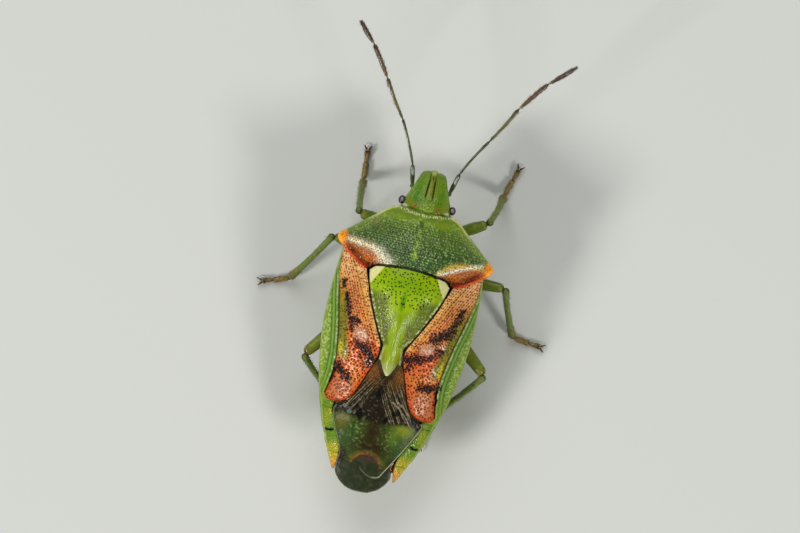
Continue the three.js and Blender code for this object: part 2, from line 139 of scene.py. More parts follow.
# ------------------------------------------------------------------ body tables, as in the solids
RIDGE_Z = table([[2.55, 2.30], [2.0, 2.64], [1.3, 3.02], [0.6, 3.50], [0, 3.78], [-0.5, 3.88], [-1.2, 3.92], [-2, 3.74], [-3, 3.42], [-4, 3.08], [-5.5, 2.66], [-7.5, 2.20]])
WING_EDGE_Z = table([[-0.3, 2.76], [-1.5, 2.50], [-3, 2.30], [-5, 2.12], [-7.5, 1.98]])
PRONOTUM_EDGE_Z = table([[1.31, 2.62], [0.88, 2.66], [0.35, 2.82], [0, 3.02], [-0.3, 2.98], [-0.82, 2.90]])
WING_HALF = table([[-0.3, 2.17], [-0.5, 2.20], [-1.5, 2.255], [-2.5, 2.26], [-3.5, 2.15], [-4.5, 1.94], [-5, 1.79], [-5.8, 1.52], [-6.5, 1.22], [-7.5, 0.95]])
PRONOTUM_HALF = table([[1.31, 0.85], [1.15, 1.2], [0.88, 1.45], [0.6, 1.8], [0.2, 2.28], [0, 2.41], [-0.3, 2.36], [-0.82, 2.25]])
SHIELD_HALF = table([[-0.72, 1.25], [-1.15, 1.16], [-1.5, 1.05], [-2, 0.83], [-2.5, 0.58], [-2.85, 0.40], [-3.2, 0.31], [-3.5, 0.24], [-3.72, 0.12], [-3.82, 0.04]])
CORIUM_INNER = table([[-0.88, 1.39], [-1.15, 1.20], [-1.5, 1.09], [-2, 0.87], [-2.5, 0.62], [-2.85, 0.44], [-3.2, 0.36], [-3.5, 0.47], [-4.1, 0.68], [-4.5, 0.88], [-4.92, 1.22]])
RIM_OUTER = table([[-5.04, 1.77], [-5.4, 1.69], [-5.8, 1.52], [-6.1, 1.40], [-6.5, 1.22], [-6.9, 1.02]])
RIM_INNER = table([[-5.12, 1.34], [-5.4, 1.30], [-5.8, 1.20], [-6.1, 1.02], [-6.5, 0.90], [-6.88, 0.95]])
HEAD_HALF = table([[1.31, 0.72], [1.5, 0.70], [1.7, 0.64], [1.95, 0.56], [2.2, 0.47], [2.4, 0.40], [2.55, 0.26]])
THORAX_HALF = table([[1.2, 0.80], [0.88, 1.28], [0.4, 1.80], [0, 2.06], [-0.6, 2.08], [-1.95, 2.10]])
THORAX_KEEL_Z = table([[1.2, 1.66], [0.6, 1.47], [-0.2, 1.40], [-1.95, 1.36]])
ABDOMEN_HALF = table([[-1.85, 2.12], [-3, 2.12], [-4, 2.00], [-5, 1.74], [-5.8, 1.45], [-6.4, 1.14], [-6.62, 0.80]])
ABDOMEN_KEEL_Z = table([[-1.85, 1.12], [-3, 1.0], [-4.2, 1.02], [-5.4, 1.20], [-6.62, 1.52]])

def wingZ(u, v):
    a = np.abs(u)
    r = np.minimum(a / WING_HALF(v), 1)
    c, e = RIDGE_Z(v), WING_EDGE_Z(v)
    sunk = 0.18 * smooth(-1.7, -0.8, v) * smooth(0.9, 1.5, a) * (1 - smooth(1.7, 2.2, a))
    return c - (c - e) * (0.8 * r * r + 0.2 * r ** 6) - sunk

def behind_ridge(u, v):
    return np.maximum(0, (-0.42 + (np.abs(u) - 0.7) * 0.30) - v)

def pronotumZ(u, v):
    a = np.abs(u)
    r = np.minimum(a / PRONOTUM_HALF(v), 1)
    c, e = RIDGE_Z(v), PRONOTUM_EDGE_Z(v)
    return c - (c - e) * (0.75 * r * r + 0.25 * r ** 5) - 0.25 * smooth(0, 0.5, behind_ridge(u, v)) * smooth(0.6, 1.1, a)

def shieldZ(u, v):
    r = np.minimum(np.abs(u) / SHIELD_HALF(v), 1)
    keel = 0.07 * bell(u, 0.17) * (1 - smooth(-2.2, -1.6, v))
    return wingZ(u, v) - 0.13 * r ** 4 + 0.06 * bell(v + 1.15, 0.5) * (1 - r * r) + keel

def headZ(u, v):
    r = np.minimum(np.abs(u) / HEAD_HALF(v), 1)
    return RIDGE_Z(v) - mix(0.34, 0.14, smooth(1.3, 2.5, v)) * r ** 2.4 + 0.02 * bell(u, 0.1)

def headUnderZ(u, v):
    r = np.minimum(np.abs(u) / HEAD_HALF(v), 1)
    deep = mix(1.30, 0.46, smooth(1.35, 2.5, v))
    return headZ(u, v) - mix(deep, mix(0.40, 0.16, smooth(1.45, 1.9, v)), smooth(0.25, 0.95, r))

# ------------------------------------------------------------------ mesh building
def build(name, co, quads, ngons=(), colour=None, masks=None, mat=None, smooth_all=True):
    co = np.asarray(co, float)
    quads = np.asarray(quads, np.int64).reshape(-1, 4) if len(quads) else np.zeros((0, 4), np.int64)
    me = bpy.data.meshes.new(name)
    me.vertices.add(len(co))
    world = np.empty_like(co)
    world[:, 0], world[:, 1], world[:, 2] = co[:, 0] * MM, (co[:, 1] - CENTRE_Y) * MM, co[:, 2] * MM
    me.vertices.foreach_set("co", world.astype(np.float32).ravel())
    tri = quads[:, 2] == quads[:, 3] if len(quads) else np.zeros(0, bool)
    sizes = np.where(tri, 3, 4)
    keep = np.ones((len(quads), 4), bool)
    keep[tri, 3] = False
    loops = quads[keep]
    for g in ngons:
        loops = np.concatenate([loops, np.asarray(g, np.int64)])
        sizes = np.concatenate([sizes, [len(g)]])
    starts = np.concatenate([[0], np.cumsum(sizes)[:-1]])
    me.loops.add(len(loops))
    me.loops.foreach_set("vertex_index", loops.astype(np.int32))
    me.polygons.add(len(sizes))
    me.polygons.foreach_set("loop_start", starts.astype(np.int32))
    me.polygons.foreach_set("use_smooth", np.full(len(sizes), smooth_all))
    me.update(calc_edges=True)
    me.validate()
    if colour is not None:
        at = me.color_attributes.new("tint", "FLOAT_COLOR", "POINT")
        at.data.foreach_set("color", np.concatenate([np.asarray(colour, float).reshape(-1, 3), np.ones((len(co), 1))], 1).astype(np.float32).ravel())
    for k, m in (masks or {}).items():
        at = me.attributes.new(k, "FLOAT", "POINT")
        at.data.foreach_set("value", np.asarray(m, np.float32).ravel())
    ob = bpy.data.objects.new(name, me)
    bpy.context.scene.collection.objects.link(ob)
    if mat:
        me.materials.append(mat)
    return ob

def coons(left, right, front, back, nu, nv, ease=0.3, ease_t=0.0):
    raw = np.linspace(0, 1, nu + 1)
    s = mix(raw, 0.5 - 0.5 * np.cos(math.pi * raw), ease)
    rt = np.linspace(0, 1, nv + 1)
    t = mix(rt, 0.5 - 0.5 * np.cos(math.pi * rt), ease_t)
    L, R = np.array([left(x) for x in t]), np.array([right(x) for x in t])
    S, T = np.meshgrid(s, t)
    out = []
    for k in (0, 1):
        P = mix(L[:, k][:, None], R[:, k][:, None], S)
        if front is not None:
            f = np.array([front(x)[k] for x in s]) - mix(L[0, k], R[0, k], s)
            P = P + (1 - T) * f[None, :]
        if back is not None:
            b = np.array([back(x)[k] for x in s]) - mix(L[-1, k], R[-1, k], s)
            P = P + T * b[None, :]
        out.append(P)
    return out[0], out[1]

def border(n_rows, n_cols):
    """indices round a grid, clockwise from above: front, right, back, left"""
    top = [j for j in range(n_cols)]
    right = [i * n_cols + n_cols - 1 for i in range(1, n_rows)]
    back = [(n_rows - 1) * n_cols + j for j in range(n_cols - 2, -1, -1)]
    left = [i * n_cols for i in range(n_rows - 2, 0, -1)]
    return np.array(top + right + back + left)

def edge_distance(U, V, reach=0.3):
    rows, cols = U.shape
    ring = border(rows, cols)
    P = np.stack([U.ravel()[ring], V.ravel()[ring]], 1)
    d = np.full(U.size, reach)
    u, v = U.ravel(), V.ravel()
    step = 40
    Q = np.stack([u, v], 1).astype(np.float32)
    P = P.astype(np.float32)
    order = np.argsort(Q[:, 1])
    qs = Q[order]
    for a in range(0, len(P), step):
        p = P[a:a + step]
        lo, hi = np.searchsorted(qs[:, 1], p[:, 1].min() - reach), np.searchsorted(qs[:, 1], p[:, 1].max() + reach)
        k = order[lo:hi]
        k = k[(Q[k, 0] > p[:, 0].min() - reach) & (Q[k, 0] < p[:, 0].max() + reach)]
        if len(k):
            dd = np.sqrt(((Q[k][:, None, :] - p[None]) ** 2).sum(-1)).min(1)
            d[k] = np.minimum(d[k], dd)
    return d.reshape(U.shape)

def plate(name, U, V, Z, colour, masks, mat, skirt=((0.0, 0.05), (-0.02, 0.12), (-0.10, 0.16)), edge_tint=None, sole=0.0, thin=None):
    """closed piece: a fine top surface, a rolled edge and a hidden underside"""
    rows, cols = U.shape
    idx = np.arange(rows * cols).reshape(rows, cols)
    q = np.stack([idx[:-1, :-1], idx[1:, :-1], idx[1:, 1:], idx[:-1, 1:]], -1).reshape(-1, 4)
    ring = border(rows, cols)
    co = np.stack([U.ravel(), V.ravel(), Z.ravel()], 1)
    base = co[ring]
    nxt, prv = np.roll(base, -1, 0), np.roll(base, 1, 0)
    tan = (nxt - prv)[:, :2]
    tan /= np.maximum(np.hypot(tan[:, 0], tan[:, 1]), 1e-9)[:, None]
    nrm = np.stack([-tan[:, 1], tan[:, 0]], 1)
    for _ in range(3):
        nrm = (np.roll(nrm, 1, 0) + nrm * 2 + np.roll(nrm, -1, 0))
        nrm /= np.maximum(np.hypot(nrm[:, 0], nrm[:, 1]), 1e-9)[:, None]
    verts, quads, last, n0 = [co], [q], ring, len(co)
    for out, drop in skirt:
        r = base.copy()
        r[:, :2] += nrm * out
        r[:, 2] -= drop * (1 if thin is None else thin(base[:, 1]))
        cur = n0 + np.arange(len(ring))
        quads.append(np.stack([last, np.roll(last, -1), np.roll(cur, -1), cur], 1))
        verts.append(r)
        last, n0 = cur, n0 + len(ring)
    cols3 = np.asarray(colour).reshape(-1, 3)
    rim = cols3[ring]
    if edge_tint is not None:
        rim = rim * 0.35 + np.asarray(edge_tint) * 0.65
    inner = np.setdiff1d(np.arange(rows * cols), ring) if sole else np.zeros(0, np.int64)
    full = cols3
    cols3 = np.concatenate([cols3] + [rim] * len(skirt) + [full[inner]])
    mk = {k: np.concatenate([np.asarray(m).ravel()] + [np.asarray(m).ravel()[ring]] * len(skirt) + [np.asarray(m).ravel()[inner]]) for k, m in masks.items()}
    if sole:
        # a thin film: its underside follows the top
        low = np.stack([U.ravel(), V.ravel(), Z.ravel() - sole], 1)[inner]
        verts.append(low)
        turn = np.zeros(rows * cols, np.int64)
        turn[ring], turn[inner] = last, n0 + np.arange(len(inner))
        quads.append(turn[q[:, ::-1]])
        return build(name, np.concatenate(verts), np.concatenate(quads), (), cols3, mk, mat)
    return build(name, np.concatenate(verts), np.concatenate(quads), [last[::-1]], cols3, mk, mat)

def done(ob, nodes):
    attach(ob, "root")
    if nodes:
        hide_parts(*nodes)
    return ob

# ------------------------------------------------------------------ materials
def cuticle(name, rough=0.32, coat=0.35, coat_rough=0.12, grain=0.018, grain_depth=0.0015, vary=0.12, sheen=0.0, spec=0.10, sss=0.0, alpha=1.0, hue=0.014, pits=True):
    m = bpy.data.materials.new(name)
    m.use_nodes = True
    nt = m.node_tree
    nt.nodes.clear()
    N = lambda t, **k: _node(nt, t, **k)
    out = N("ShaderNodeOutputMaterial")
    bsdf = N("ShaderNodeBsdfPrincipled")
    tint = N("ShaderNodeAttribute"); tint.attribute_name = "tint"
    pos = N("ShaderNodeTexCoord")
    n1 = N("ShaderNodeTexNoise"); n1.inputs["Scale"].default_value = 1 / (0.11 * MM); n1.inputs["Detail"].default_value = 4
    n2 = N("ShaderNodeTexNoise"); n2.inputs["Scale"].default_value = 1 / (grain * MM); n2.inputs["Detail"].default_value = 3
    n3 = N("ShaderNodeTexNoise"); n3.inputs["Scale"].default_value = 1 / (0.45 * MM); n3.inputs["Detail"].default_value = 2
    for n in (n1, n2, n3):
        nt.links.new(pos.outputs["Object"], n.inputs["Vector"])
    hsv = N("ShaderNodeHueSaturation")
    mh = N("ShaderNodeMapRange"); mh.inputs["To Min"].default_value = 0.5 - hue * 0.5; mh.inputs["To Max"].default_value = 0.5 + hue * 0.5
    mh.inputs["From Min"].default_value = 0.3; mh.inputs["From Max"].default_value = 0.7
    mv = N("ShaderNodeMapRange"); mv.inputs["To Min"].default_value = 1 - vary; mv.inputs["To Max"].default_value = 1 + vary
    mv.inputs["From Min"].default_value = 0.3; mv.inputs["From Max"].default_value = 0.7
    nt.links.new(n3.outputs["Fac"], mh.inputs["Value"])
    nt.links.new(n1.outputs["Fac"], mv.inputs["Value"])
    nt.links.new(mh.outputs["Result"], hsv.inputs["Hue"])
    nt.links.new(mv.outputs["Result"], hsv.inputs["Value"])
    nt.links.new(tint.outputs["Color"], hsv.inputs["Color"])
    last = hsv.outputs["Color"]
    if pits:
        pit = N("ShaderNodeAttribute"); pit.attribute_name = "pit"
        dark = N("ShaderNodeMix"); dark.data_type = "RGBA"; dark.blend_type = "MULTIPLY"
        dark.inputs["B"].default_value = (0.10, 0.08, 0.06, 1)
        nt.links.new(pit.outputs["Fac"], dark.inputs["Factor"])
        nt.links.new(last, dark.inputs["A"])
        last = dark.outputs["Result"]
    nt.links.new(last, bsdf.inputs["Base Color"])
    mr = N("ShaderNodeMapRange"); mr.inputs["To Min"].default_value = rough * 0.75; mr.inputs["To Max"].default_value = rough * 1.3
    nt.links.new(n1.outputs["Fac"], mr.inputs["Value"])
    if pits:
        dull = N("ShaderNodeMath"); dull.operation = "MULTIPLY_ADD"; dull.inputs[1].default_value = 0.35
        nt.links.new(pit.outputs["Fac"], dull.inputs[0])
        nt.links.new(mr.outputs["Result"], dull.inputs[2])
        nt.links.new(dull.outputs["Value"], bsdf.inputs["Roughness"])
    else:
        nt.links.new(mr.outputs["Result"], bsdf.inputs["Roughness"])
    bump = N("ShaderNodeBump"); bump.inputs["Strength"].default_value = 1.0; bump.inputs["Distance"].default_value = grain_depth * MM
    nt.links.new(n2.outputs["Fac"], bump.inputs["Height"])
    nt.links.new(bump.outputs["Normal"], bsdf.inputs["Normal"])
    bsdf.inputs["Coat Weight"].default_value = coat
    bsdf.inputs["Coat Roughness"].default_value = coat_rough
    bsdf.inputs["Specular IOR Level"].default_value = spec
    bsdf.inputs["Sheen Weight"].default_value = sheen
    bsdf.inputs["Alpha"].default_value = alpha
    if sss:
        bsdf.inputs["Subsurface Weight"].default_value = sss
        bsdf.inputs["Subsurface Radius"].default_value = (1.0, 0.8, 0.25)
        bsdf.inputs["Subsurface Scale"].default_value = 0.08 * MM
    nt.links.new(bsdf.outputs["BSDF"], out.inputs["Surface"])
    return m

def _node(nt, kind, **k):
    n = nt.nodes.new(kind)
    for a, b in k.items():
        setattr(n, a, b)
    return n

M_PRONOTUM = cuticle("horn_pronotum", rough=0.40, coat=0.62, coat_rough=0.13)
M_SHIELD = cuticle("horn_scutellum", rough=0.42, coat=0.13, coat_rough=0.13, vary=0.08)
M_CORIUM = cuticle("horn_forewing", rough=0.46, coat=0.17, coat_rough=0.13)
M_MEMBRANE = cuticle("wing_film", rough=0.55, coat=0.04, coat_rough=0.16, spec=0.06, grain=0.03, grain_depth=0.0020, vary=0.20)
M_RIM = cuticle("horn_rim", rough=0.38, coat=0.22)
M_HEAD = cuticle("horn_head", rough=0.36, coat=0.45, vary=0.15)
M_EYE = cuticle("eye_facets", rough=0.16, coat=0.9, coat_rough=0.05, vary=0.15, pits=False)
M_OCELLUS = cuticle("ocellus", rough=0.1, coat=1.0, coat_rough=0.04, pits=False)
M_FEELER = cuticle("horn_feeler", rough=0.36, coat=0.6, coat_rough=0.14, vary=0.2, pits=False)
M_LEG = cuticle("horn_leg", rough=0.32, coat=0.35, vary=0.2, pits=False)
M_FOOT = cuticle("horn_foot", rough=0.40, coat=0.2, vary=0.25, pits=False)
M_UNDER = cuticle("horn_underside", rough=0.36, coat=0.3)
M_HAIR = cuticle("hair", rough=0.45, coat=0.0, vary=0.1, pits=False)

# ------------------------------------------------------------------ pronotum
def catmull(pts, t):
    pts = np.array(pts, float)
    x = t * (len(pts) - 1)
    i = min(int(x), len(pts) - 2)
    f = x - i
    q = lambda k: pts[min(max(k, 0), len(pts) - 1)]
    return 0.5 * (2 * q(i) + (q(i + 1) - q(i - 1)) * f + (2 * q(i - 1) - 5 * q(i) + 4 * q(i + 1) - q(i + 2)) * f * f + (3 * q(i) - q(i - 1) - 3 * q(i + 1) + q(i + 2)) * f ** 3)

PRONOTUM_SIDE = [[0.85, 1.31], [1.12, 1.14], [1.45, 0.86], [1.78, 0.585], [2.06, 0.335], [2.24, 0.195], [2.375, 0.085], [2.405, -0.045], [2.31, -0.20], [2.13, -0.36], [1.90, -0.525], [1.66, -0.67], [1.45, -0.775], [1.28, -0.765]]
def p_side(side):
    def f(t):
        q = catmull(PRONOTUM_SIDE, t)
        return [side * q[0], q[1]]
    return f

def crest(A):
    """where the back slope of the pronotum begins"""
    return np.interp(A, [0.0, 0.65, 0.80, 0.95, 1.10, 1.30, 1.60, 2.10, 2.40], [-0.62, -0.53, -0.42, -0.27, -0.15, -0.06, -0.02, 0.03, 0.10])

def make_pronotum():
    front = lambda s: [mix(-0.85, 0.85, s), 1.20 + 0.11 * (abs(mix(-0.85, 0.85, s)) / 0.85) ** 1.6]
    def back(s):
        u = mix(-1.28, 1.28, s); a = abs(u)
        return [u, -0.505 - 0.12 * (a / 1.1) ** 2 - 0.0975 * float(smooth(1.08, 1.28, a))]
    U, V = coons(p_side(-1), p_side(1), front, back, 380, 210, ease=0.2)
    A = np.abs(U)
    d = edge_distance(U, V)
    Z = pronotumZ(U, V)
    behind = crest(A) - V
    outer = smooth(0.62, 0.85, A)
    decl = smooth(-0.01, 0.07, behind) * outer
    hum = np.clip(blob(A, V, 2.34, 0.01, 0.23, 0.24, soft=0.35), 0, 1)
    hind = (V < 0.02) & (A > 1.22)
    # pits in wavering cross rows, thin on the front slope and the smooth calli
    pts = scatter(-2.5, 2.5, -0.9, 1.35, 0.082, 0.26, rows=True, seed=3)
    keep = rng.uniform(0, 1, len(pts)) < np.where(pts[:, 1] > 0.82, 0.40, 0.97)
    pts = pts[keep]
    pit = splat(U, V, pts, rng.uniform(0.019, 0.028, len(pts)))
    calli = np.clip(sum(blob(U, V, s * 0.55, 1.0, 0.42, 0.13, soft=0.5) for s in (-1, 1)), 0, 1)
    pit *= 1 - 0.85 * calli
    pit *= 1 - 0.8 * smooth(0.13, 0.04, d) * (V > 0.1)
    pit *= 1 - 0.9 * hum
    # pale raised flecks: granules of the surface whose pale colour is partly a painted highlight
    fp = scatter(-2.3, 2.3, -0.5, 0.95, 0.100, 0.36, rows=True, seed=9)
    fp = fp[rng.uniform(0, 1, len(fp)) < 0.88]
    flecks = splat(U, V, fp, rng.uniform(0.020, 0.038, len(fp)), 2.4) * (0.45 + 0.55 * smooth(0.35, 0.6, vnoise(U, V, 0.16, 28)))
    flecks *= 1 - decl
    # relief
    edge_roll = 0.035 * (1 - np.sqrt(np.clip(1 - ((0.05 - np.minimum(d, 0.05)) / 0.05) ** 2, 0, 1)))
    front_line = 1.20 + 0.11 * (A / 0.85) ** 1.6
    rimline = bell(d - 0.05, 0.035) * smooth(0.1, 0.5, V)
    ridge = bell(behind - 0.03, 0.10) * outer * (1 - smooth(2.05, 2.25, A))
    wave = np.sin((behind * 36 + 5 * vnoise(U, V, 0.22, 17)))
    rows = vnoise(U * 0.6, V * 3.0, 0.10, 5) - 0.5
    margin = bell(d - 0.055, 0.045) * hind
    trench = bell(d - 0.17, 0.055) * hind * (1 - hum)
    Z = Z - edge_roll + 0.018 * calli + 0.020 * rimline + 0.045 * ridge - 0.020 * pit + 0.010 * flecks + 0.006 * rows
    Z += (0.030 * margin - 0.040 * trench) + 0.005 * wave * decl * (1 - hum) - 0.10 * smooth(0.04, 0.30, behind) * outer * (1 - smooth(1.9, 2.25, A)) * (1 - margin)
    Z -= 0.018 * bell(V - 1.09, 0.04) * (1 - smooth(0.9, 1.2, A))
    beads = smooth(0.35, 0.9, np.cos((U + 0.02 * np.sin(U * 21)) * 2 * math.pi / 0.082)) * bell(V - front_line + 0.055, 0.030) * (A < 0.84)
    Z += 0.022 * beads
    # colour
    col = np.ones(U.shape + (3,)) * C(52, 82, 26)
    col = layer(col, C(66, 96, 34), smooth(0.35, 0.7, vnoise(U, V, 0.30, 21)) * 0.5)
    disc_edge = 0.74 + 0.16 * (vnoise(U, V, 0.35, 2) - 0.5) - 0.16 * smooth(0.9, 1.9, A)
    yg = C(112, 142, 12)
    col = layer(col, C(88, 124, 18), smooth(disc_edge - 0.30, disc_edge + 0.05, V) * 0.95)
    col = layer(col, yg, smooth(disc_edge + 0.02, disc_edge + 0.22, V) * 0.85)
    col = layer(col, yg, smooth(0.42, 0.10, d) * smooth(0.0, 0.35, V) * 0.9)
    col = layer(col, C(124, 140, 20), smooth(0.30, 0.08, d) * bell(V - 0.80, 0.35) * 0.6)
    col = layer(col, C(140, 96, 24), blob(A, V, 1.38, 0.62, 0.20, 0.045, turn=0.35, soft=0.8) * (U < 0) * 0.55)
    col = layer(col, C(74, 112, 18), bell(V - 1.09, 0.05) * (1 - smooth(0.75, 1.1, A)) * 0.8)
    col = layer(col, C(128, 152, 14), calli * 0.55)
    # pale fleck colour: granule tone and partly painted highlight
    fl = flecks * (1 - smooth(0.80, 1.05, V))
    col = layer(col, C(164, 196, 108), fl * (0.70 + 0.30 * smooth(0.5, -0.1, V)))
    speck = smooth(0.62, 0.80, vnoise(U, V, 0.055, 26, 1)) * smooth(0.62, 0.85, V) * (1 - calli)
    col = layer(col, C(168, 190, 84), speck * 0.5)
    median = bell(U + 0.03 * np.sin(V * 4), 0.07) * smooth(-0.30, -0.10, V) * (1 - smooth(1.0, 1.14, V)) * smooth(0.35, 0.6, vnoise(U, V, 0.07, 4))
    col = layer(col, C(146, 184, 30), median * 0.85)
    col = layer(col, C(150, 190, 30), blob(U, V, -0.04, -0.10, 0.08, 0.12, soft=0.7) * 0.6)
    col = layer(col, C(168, 190, 60), blob(U, V, -0.10, 1.02, 0.06, 0.04, soft=0.7) * 0.8 + blob(U, V, 0.03, 1.10, 0.10, 0.03, soft=0.7) * 0.6)
    col = layer(col, C(36, 78, 16), blob(U, V, -0.02, 0.86, 0.07, 0.13, soft=0.7) * 0.85)
    col = layer(col, C(40, 80, 18), blob(U, V, 0.0, 0.45, 0.05, 0.10, soft=0.8) * 0.5)
    # pale beads along the front margin, cream behind the eyes
    col = layer(col, C(106, 132, 34), bell(V - front_line + 0.03, 0.07) * (A < 0.9) * 0.7)
    col = layer(col, C(208, 212, 150), np.clip(beads * 1.5, 0, 1) * 0.95)
    spots = bell(V - front_line + 0.03, 0.05) * smooth(0.55, 0.72, vnoise(U, V, 0.08, 8)) * (A < 0.86)
    col = layer(col, C(214, 214, 150), spots * 0.9)
    cream = smooth(0.085, 0.035, d) * smooth(0.55, 0.95, V) * smooth(0.74, 0.84, A)
    col = layer(col, C(206, 206, 120), cream * 0.95)
    col = layer(col, C(226, 222, 156), blob(A, V, 0.86, 1.265, 0.11, 0.05, turn=-0.5, soft=0.5) * 0.9)
    # slope behind the crest: yellow crest, brown hollow, red hind margin
    crest_band = bell(behind - 0.045, 0.085) * outer
    col = layer(col, C(184, 100, 34), decl * 0.97)
    col = layer(col, C(206, 176, 52), crest_band * (1 - smooth(2.05, 2.25, A)) * 0.95)
    side_tilt = np.sign(U) * 0.9
    # painted highlight: white glint bands along both shoulder crests, dotted with dark pits
    left_glint_band = [[-2.08, -0.04], [-1.62, -0.08], [-1.40, -0.10], [-1.12, -0.20], [-0.92, -0.40], [-0.74, -0.50]]
    right_glint_band = [[0.84, -0.47], [1.06, -0.38], [1.50, -0.16], [1.80, -0.02], [2.05, 0.05]]
    lit = np.zeros(U.shape)
    for path, w in ((left_glint_band, 0.140), (right_glint_band, 0.085)):
        dd, ww = line_dist(U, V, path)
        shine = np.exp(-(dd / (w * (0.7 + 0.5 * smooth(0.45, 0.85, ww) * (path is left_glint_band)))) ** 2) * (0.35 + 0.65 * smooth(0.28, 0.50, vnoise(U + 0.5 * V, V * 2.4 - U * side_tilt, 0.10, 19)))
        col = layer(col, C(255, 249, 216), np.clip(shine * 1.15, 0, 1) * 0.95)
        lit = np.maximum(lit, shine)
    band_pts = scatter(-2.2, 2.2, -0.7, 0.2, 0.098, 0.34, seed=29)
    band_dots = splat(U, V, band_pts, rng.uniform(0.014, 0.024, len(band_pts))) * smooth(0.15, 0.5, lit)
    col = layer(col, C(24, 18, 8), np.clip(band_dots * 1.3, 0, 1) * 0.9)
    col = layer(col, C(150, 64, 26), bell(d - 0.20, 0.07) * hind * (1 - smooth(2.0, 2.25, A)) * 0.75)
    # painted shade: dark brown in the trench in front of the raised hind margin
    col = layer(col, C(76, 34, 20), bell(d - 0.165, 0.045) * hind * (1 - smooth(1.9, 2.15, A)) * smooth(0.3, 0.6, vnoise(U, V, 0.12, 18)) * 0.8)
    col = layer(col, C(214, 118, 40), blob(A, V, 1.32, -0.50, 0.20, 0.12, turn=-0.3, soft=0.6) * 0.7)
    red = smooth(0.125, 0.085, d) * hind * smooth(1.25, 1.38, A)
    col = layer(col, mix(C(206, 38, 20), C(232, 96, 20), smooth(1.58, 1.90, A)[..., None]), red)
    col = layer(col, C(246, 148, 12), hum)
    col = layer(col, C(250, 172, 30), hum * smooth(0.12, 0.04, d))
    hump = scatter(1.9, 2.4, -0.2, 0.2, 0.07, 0.3, seed=27)
    hp = splat(A, V, hump, 0.017) * blob(A, V, 2.18, 0.03, 0.15, 0.13, soft=0.4)
    # dark hind edge over the scutellum, and painted shade in the corner by the scutellum
    col = layer(col, C(18, 18, 10), smooth(0.045, 0.015, d) * (V < -0.4) * (A < 1.24) * 0.95)
    col = layer(col, C(40, 24, 12), blob(A, V, 1.30, -0.70, 0.07, 0.09, soft=0.6) * 0.8)
    elong = splat(A * 0.55 + V * 0.0, V, np.stack([scatter(0.9, 2.3, -0.8, 0.1, 0.085, 0.3, seed=31)[:, 0] * 0.55, scatter(0.9, 2.3, -0.8, 0.1, 0.085, 0.3, seed=31)[:, 1]], 1), 0.016) * decl * (1 - hum)
    pitm = np.clip(pit * (1 - 0.45 * smooth(0.8, 1.05, V)) * (1 - 0.5 * decl) + elong * 0.95 + hp * 0.9, 0, 1)
    Z -= 0.016 * elong + 0.014 * hp
    ob = plate("pronotum_skin", U, V, Z, col, {"pit": pitm}, M_PRONOTUM, skirt=((0.0, 0.03), (-0.012, 0.07), (-0.05, 0.12), (-0.16, 0.17)), edge_tint=None)
    return done(ob, ["pronotum"])

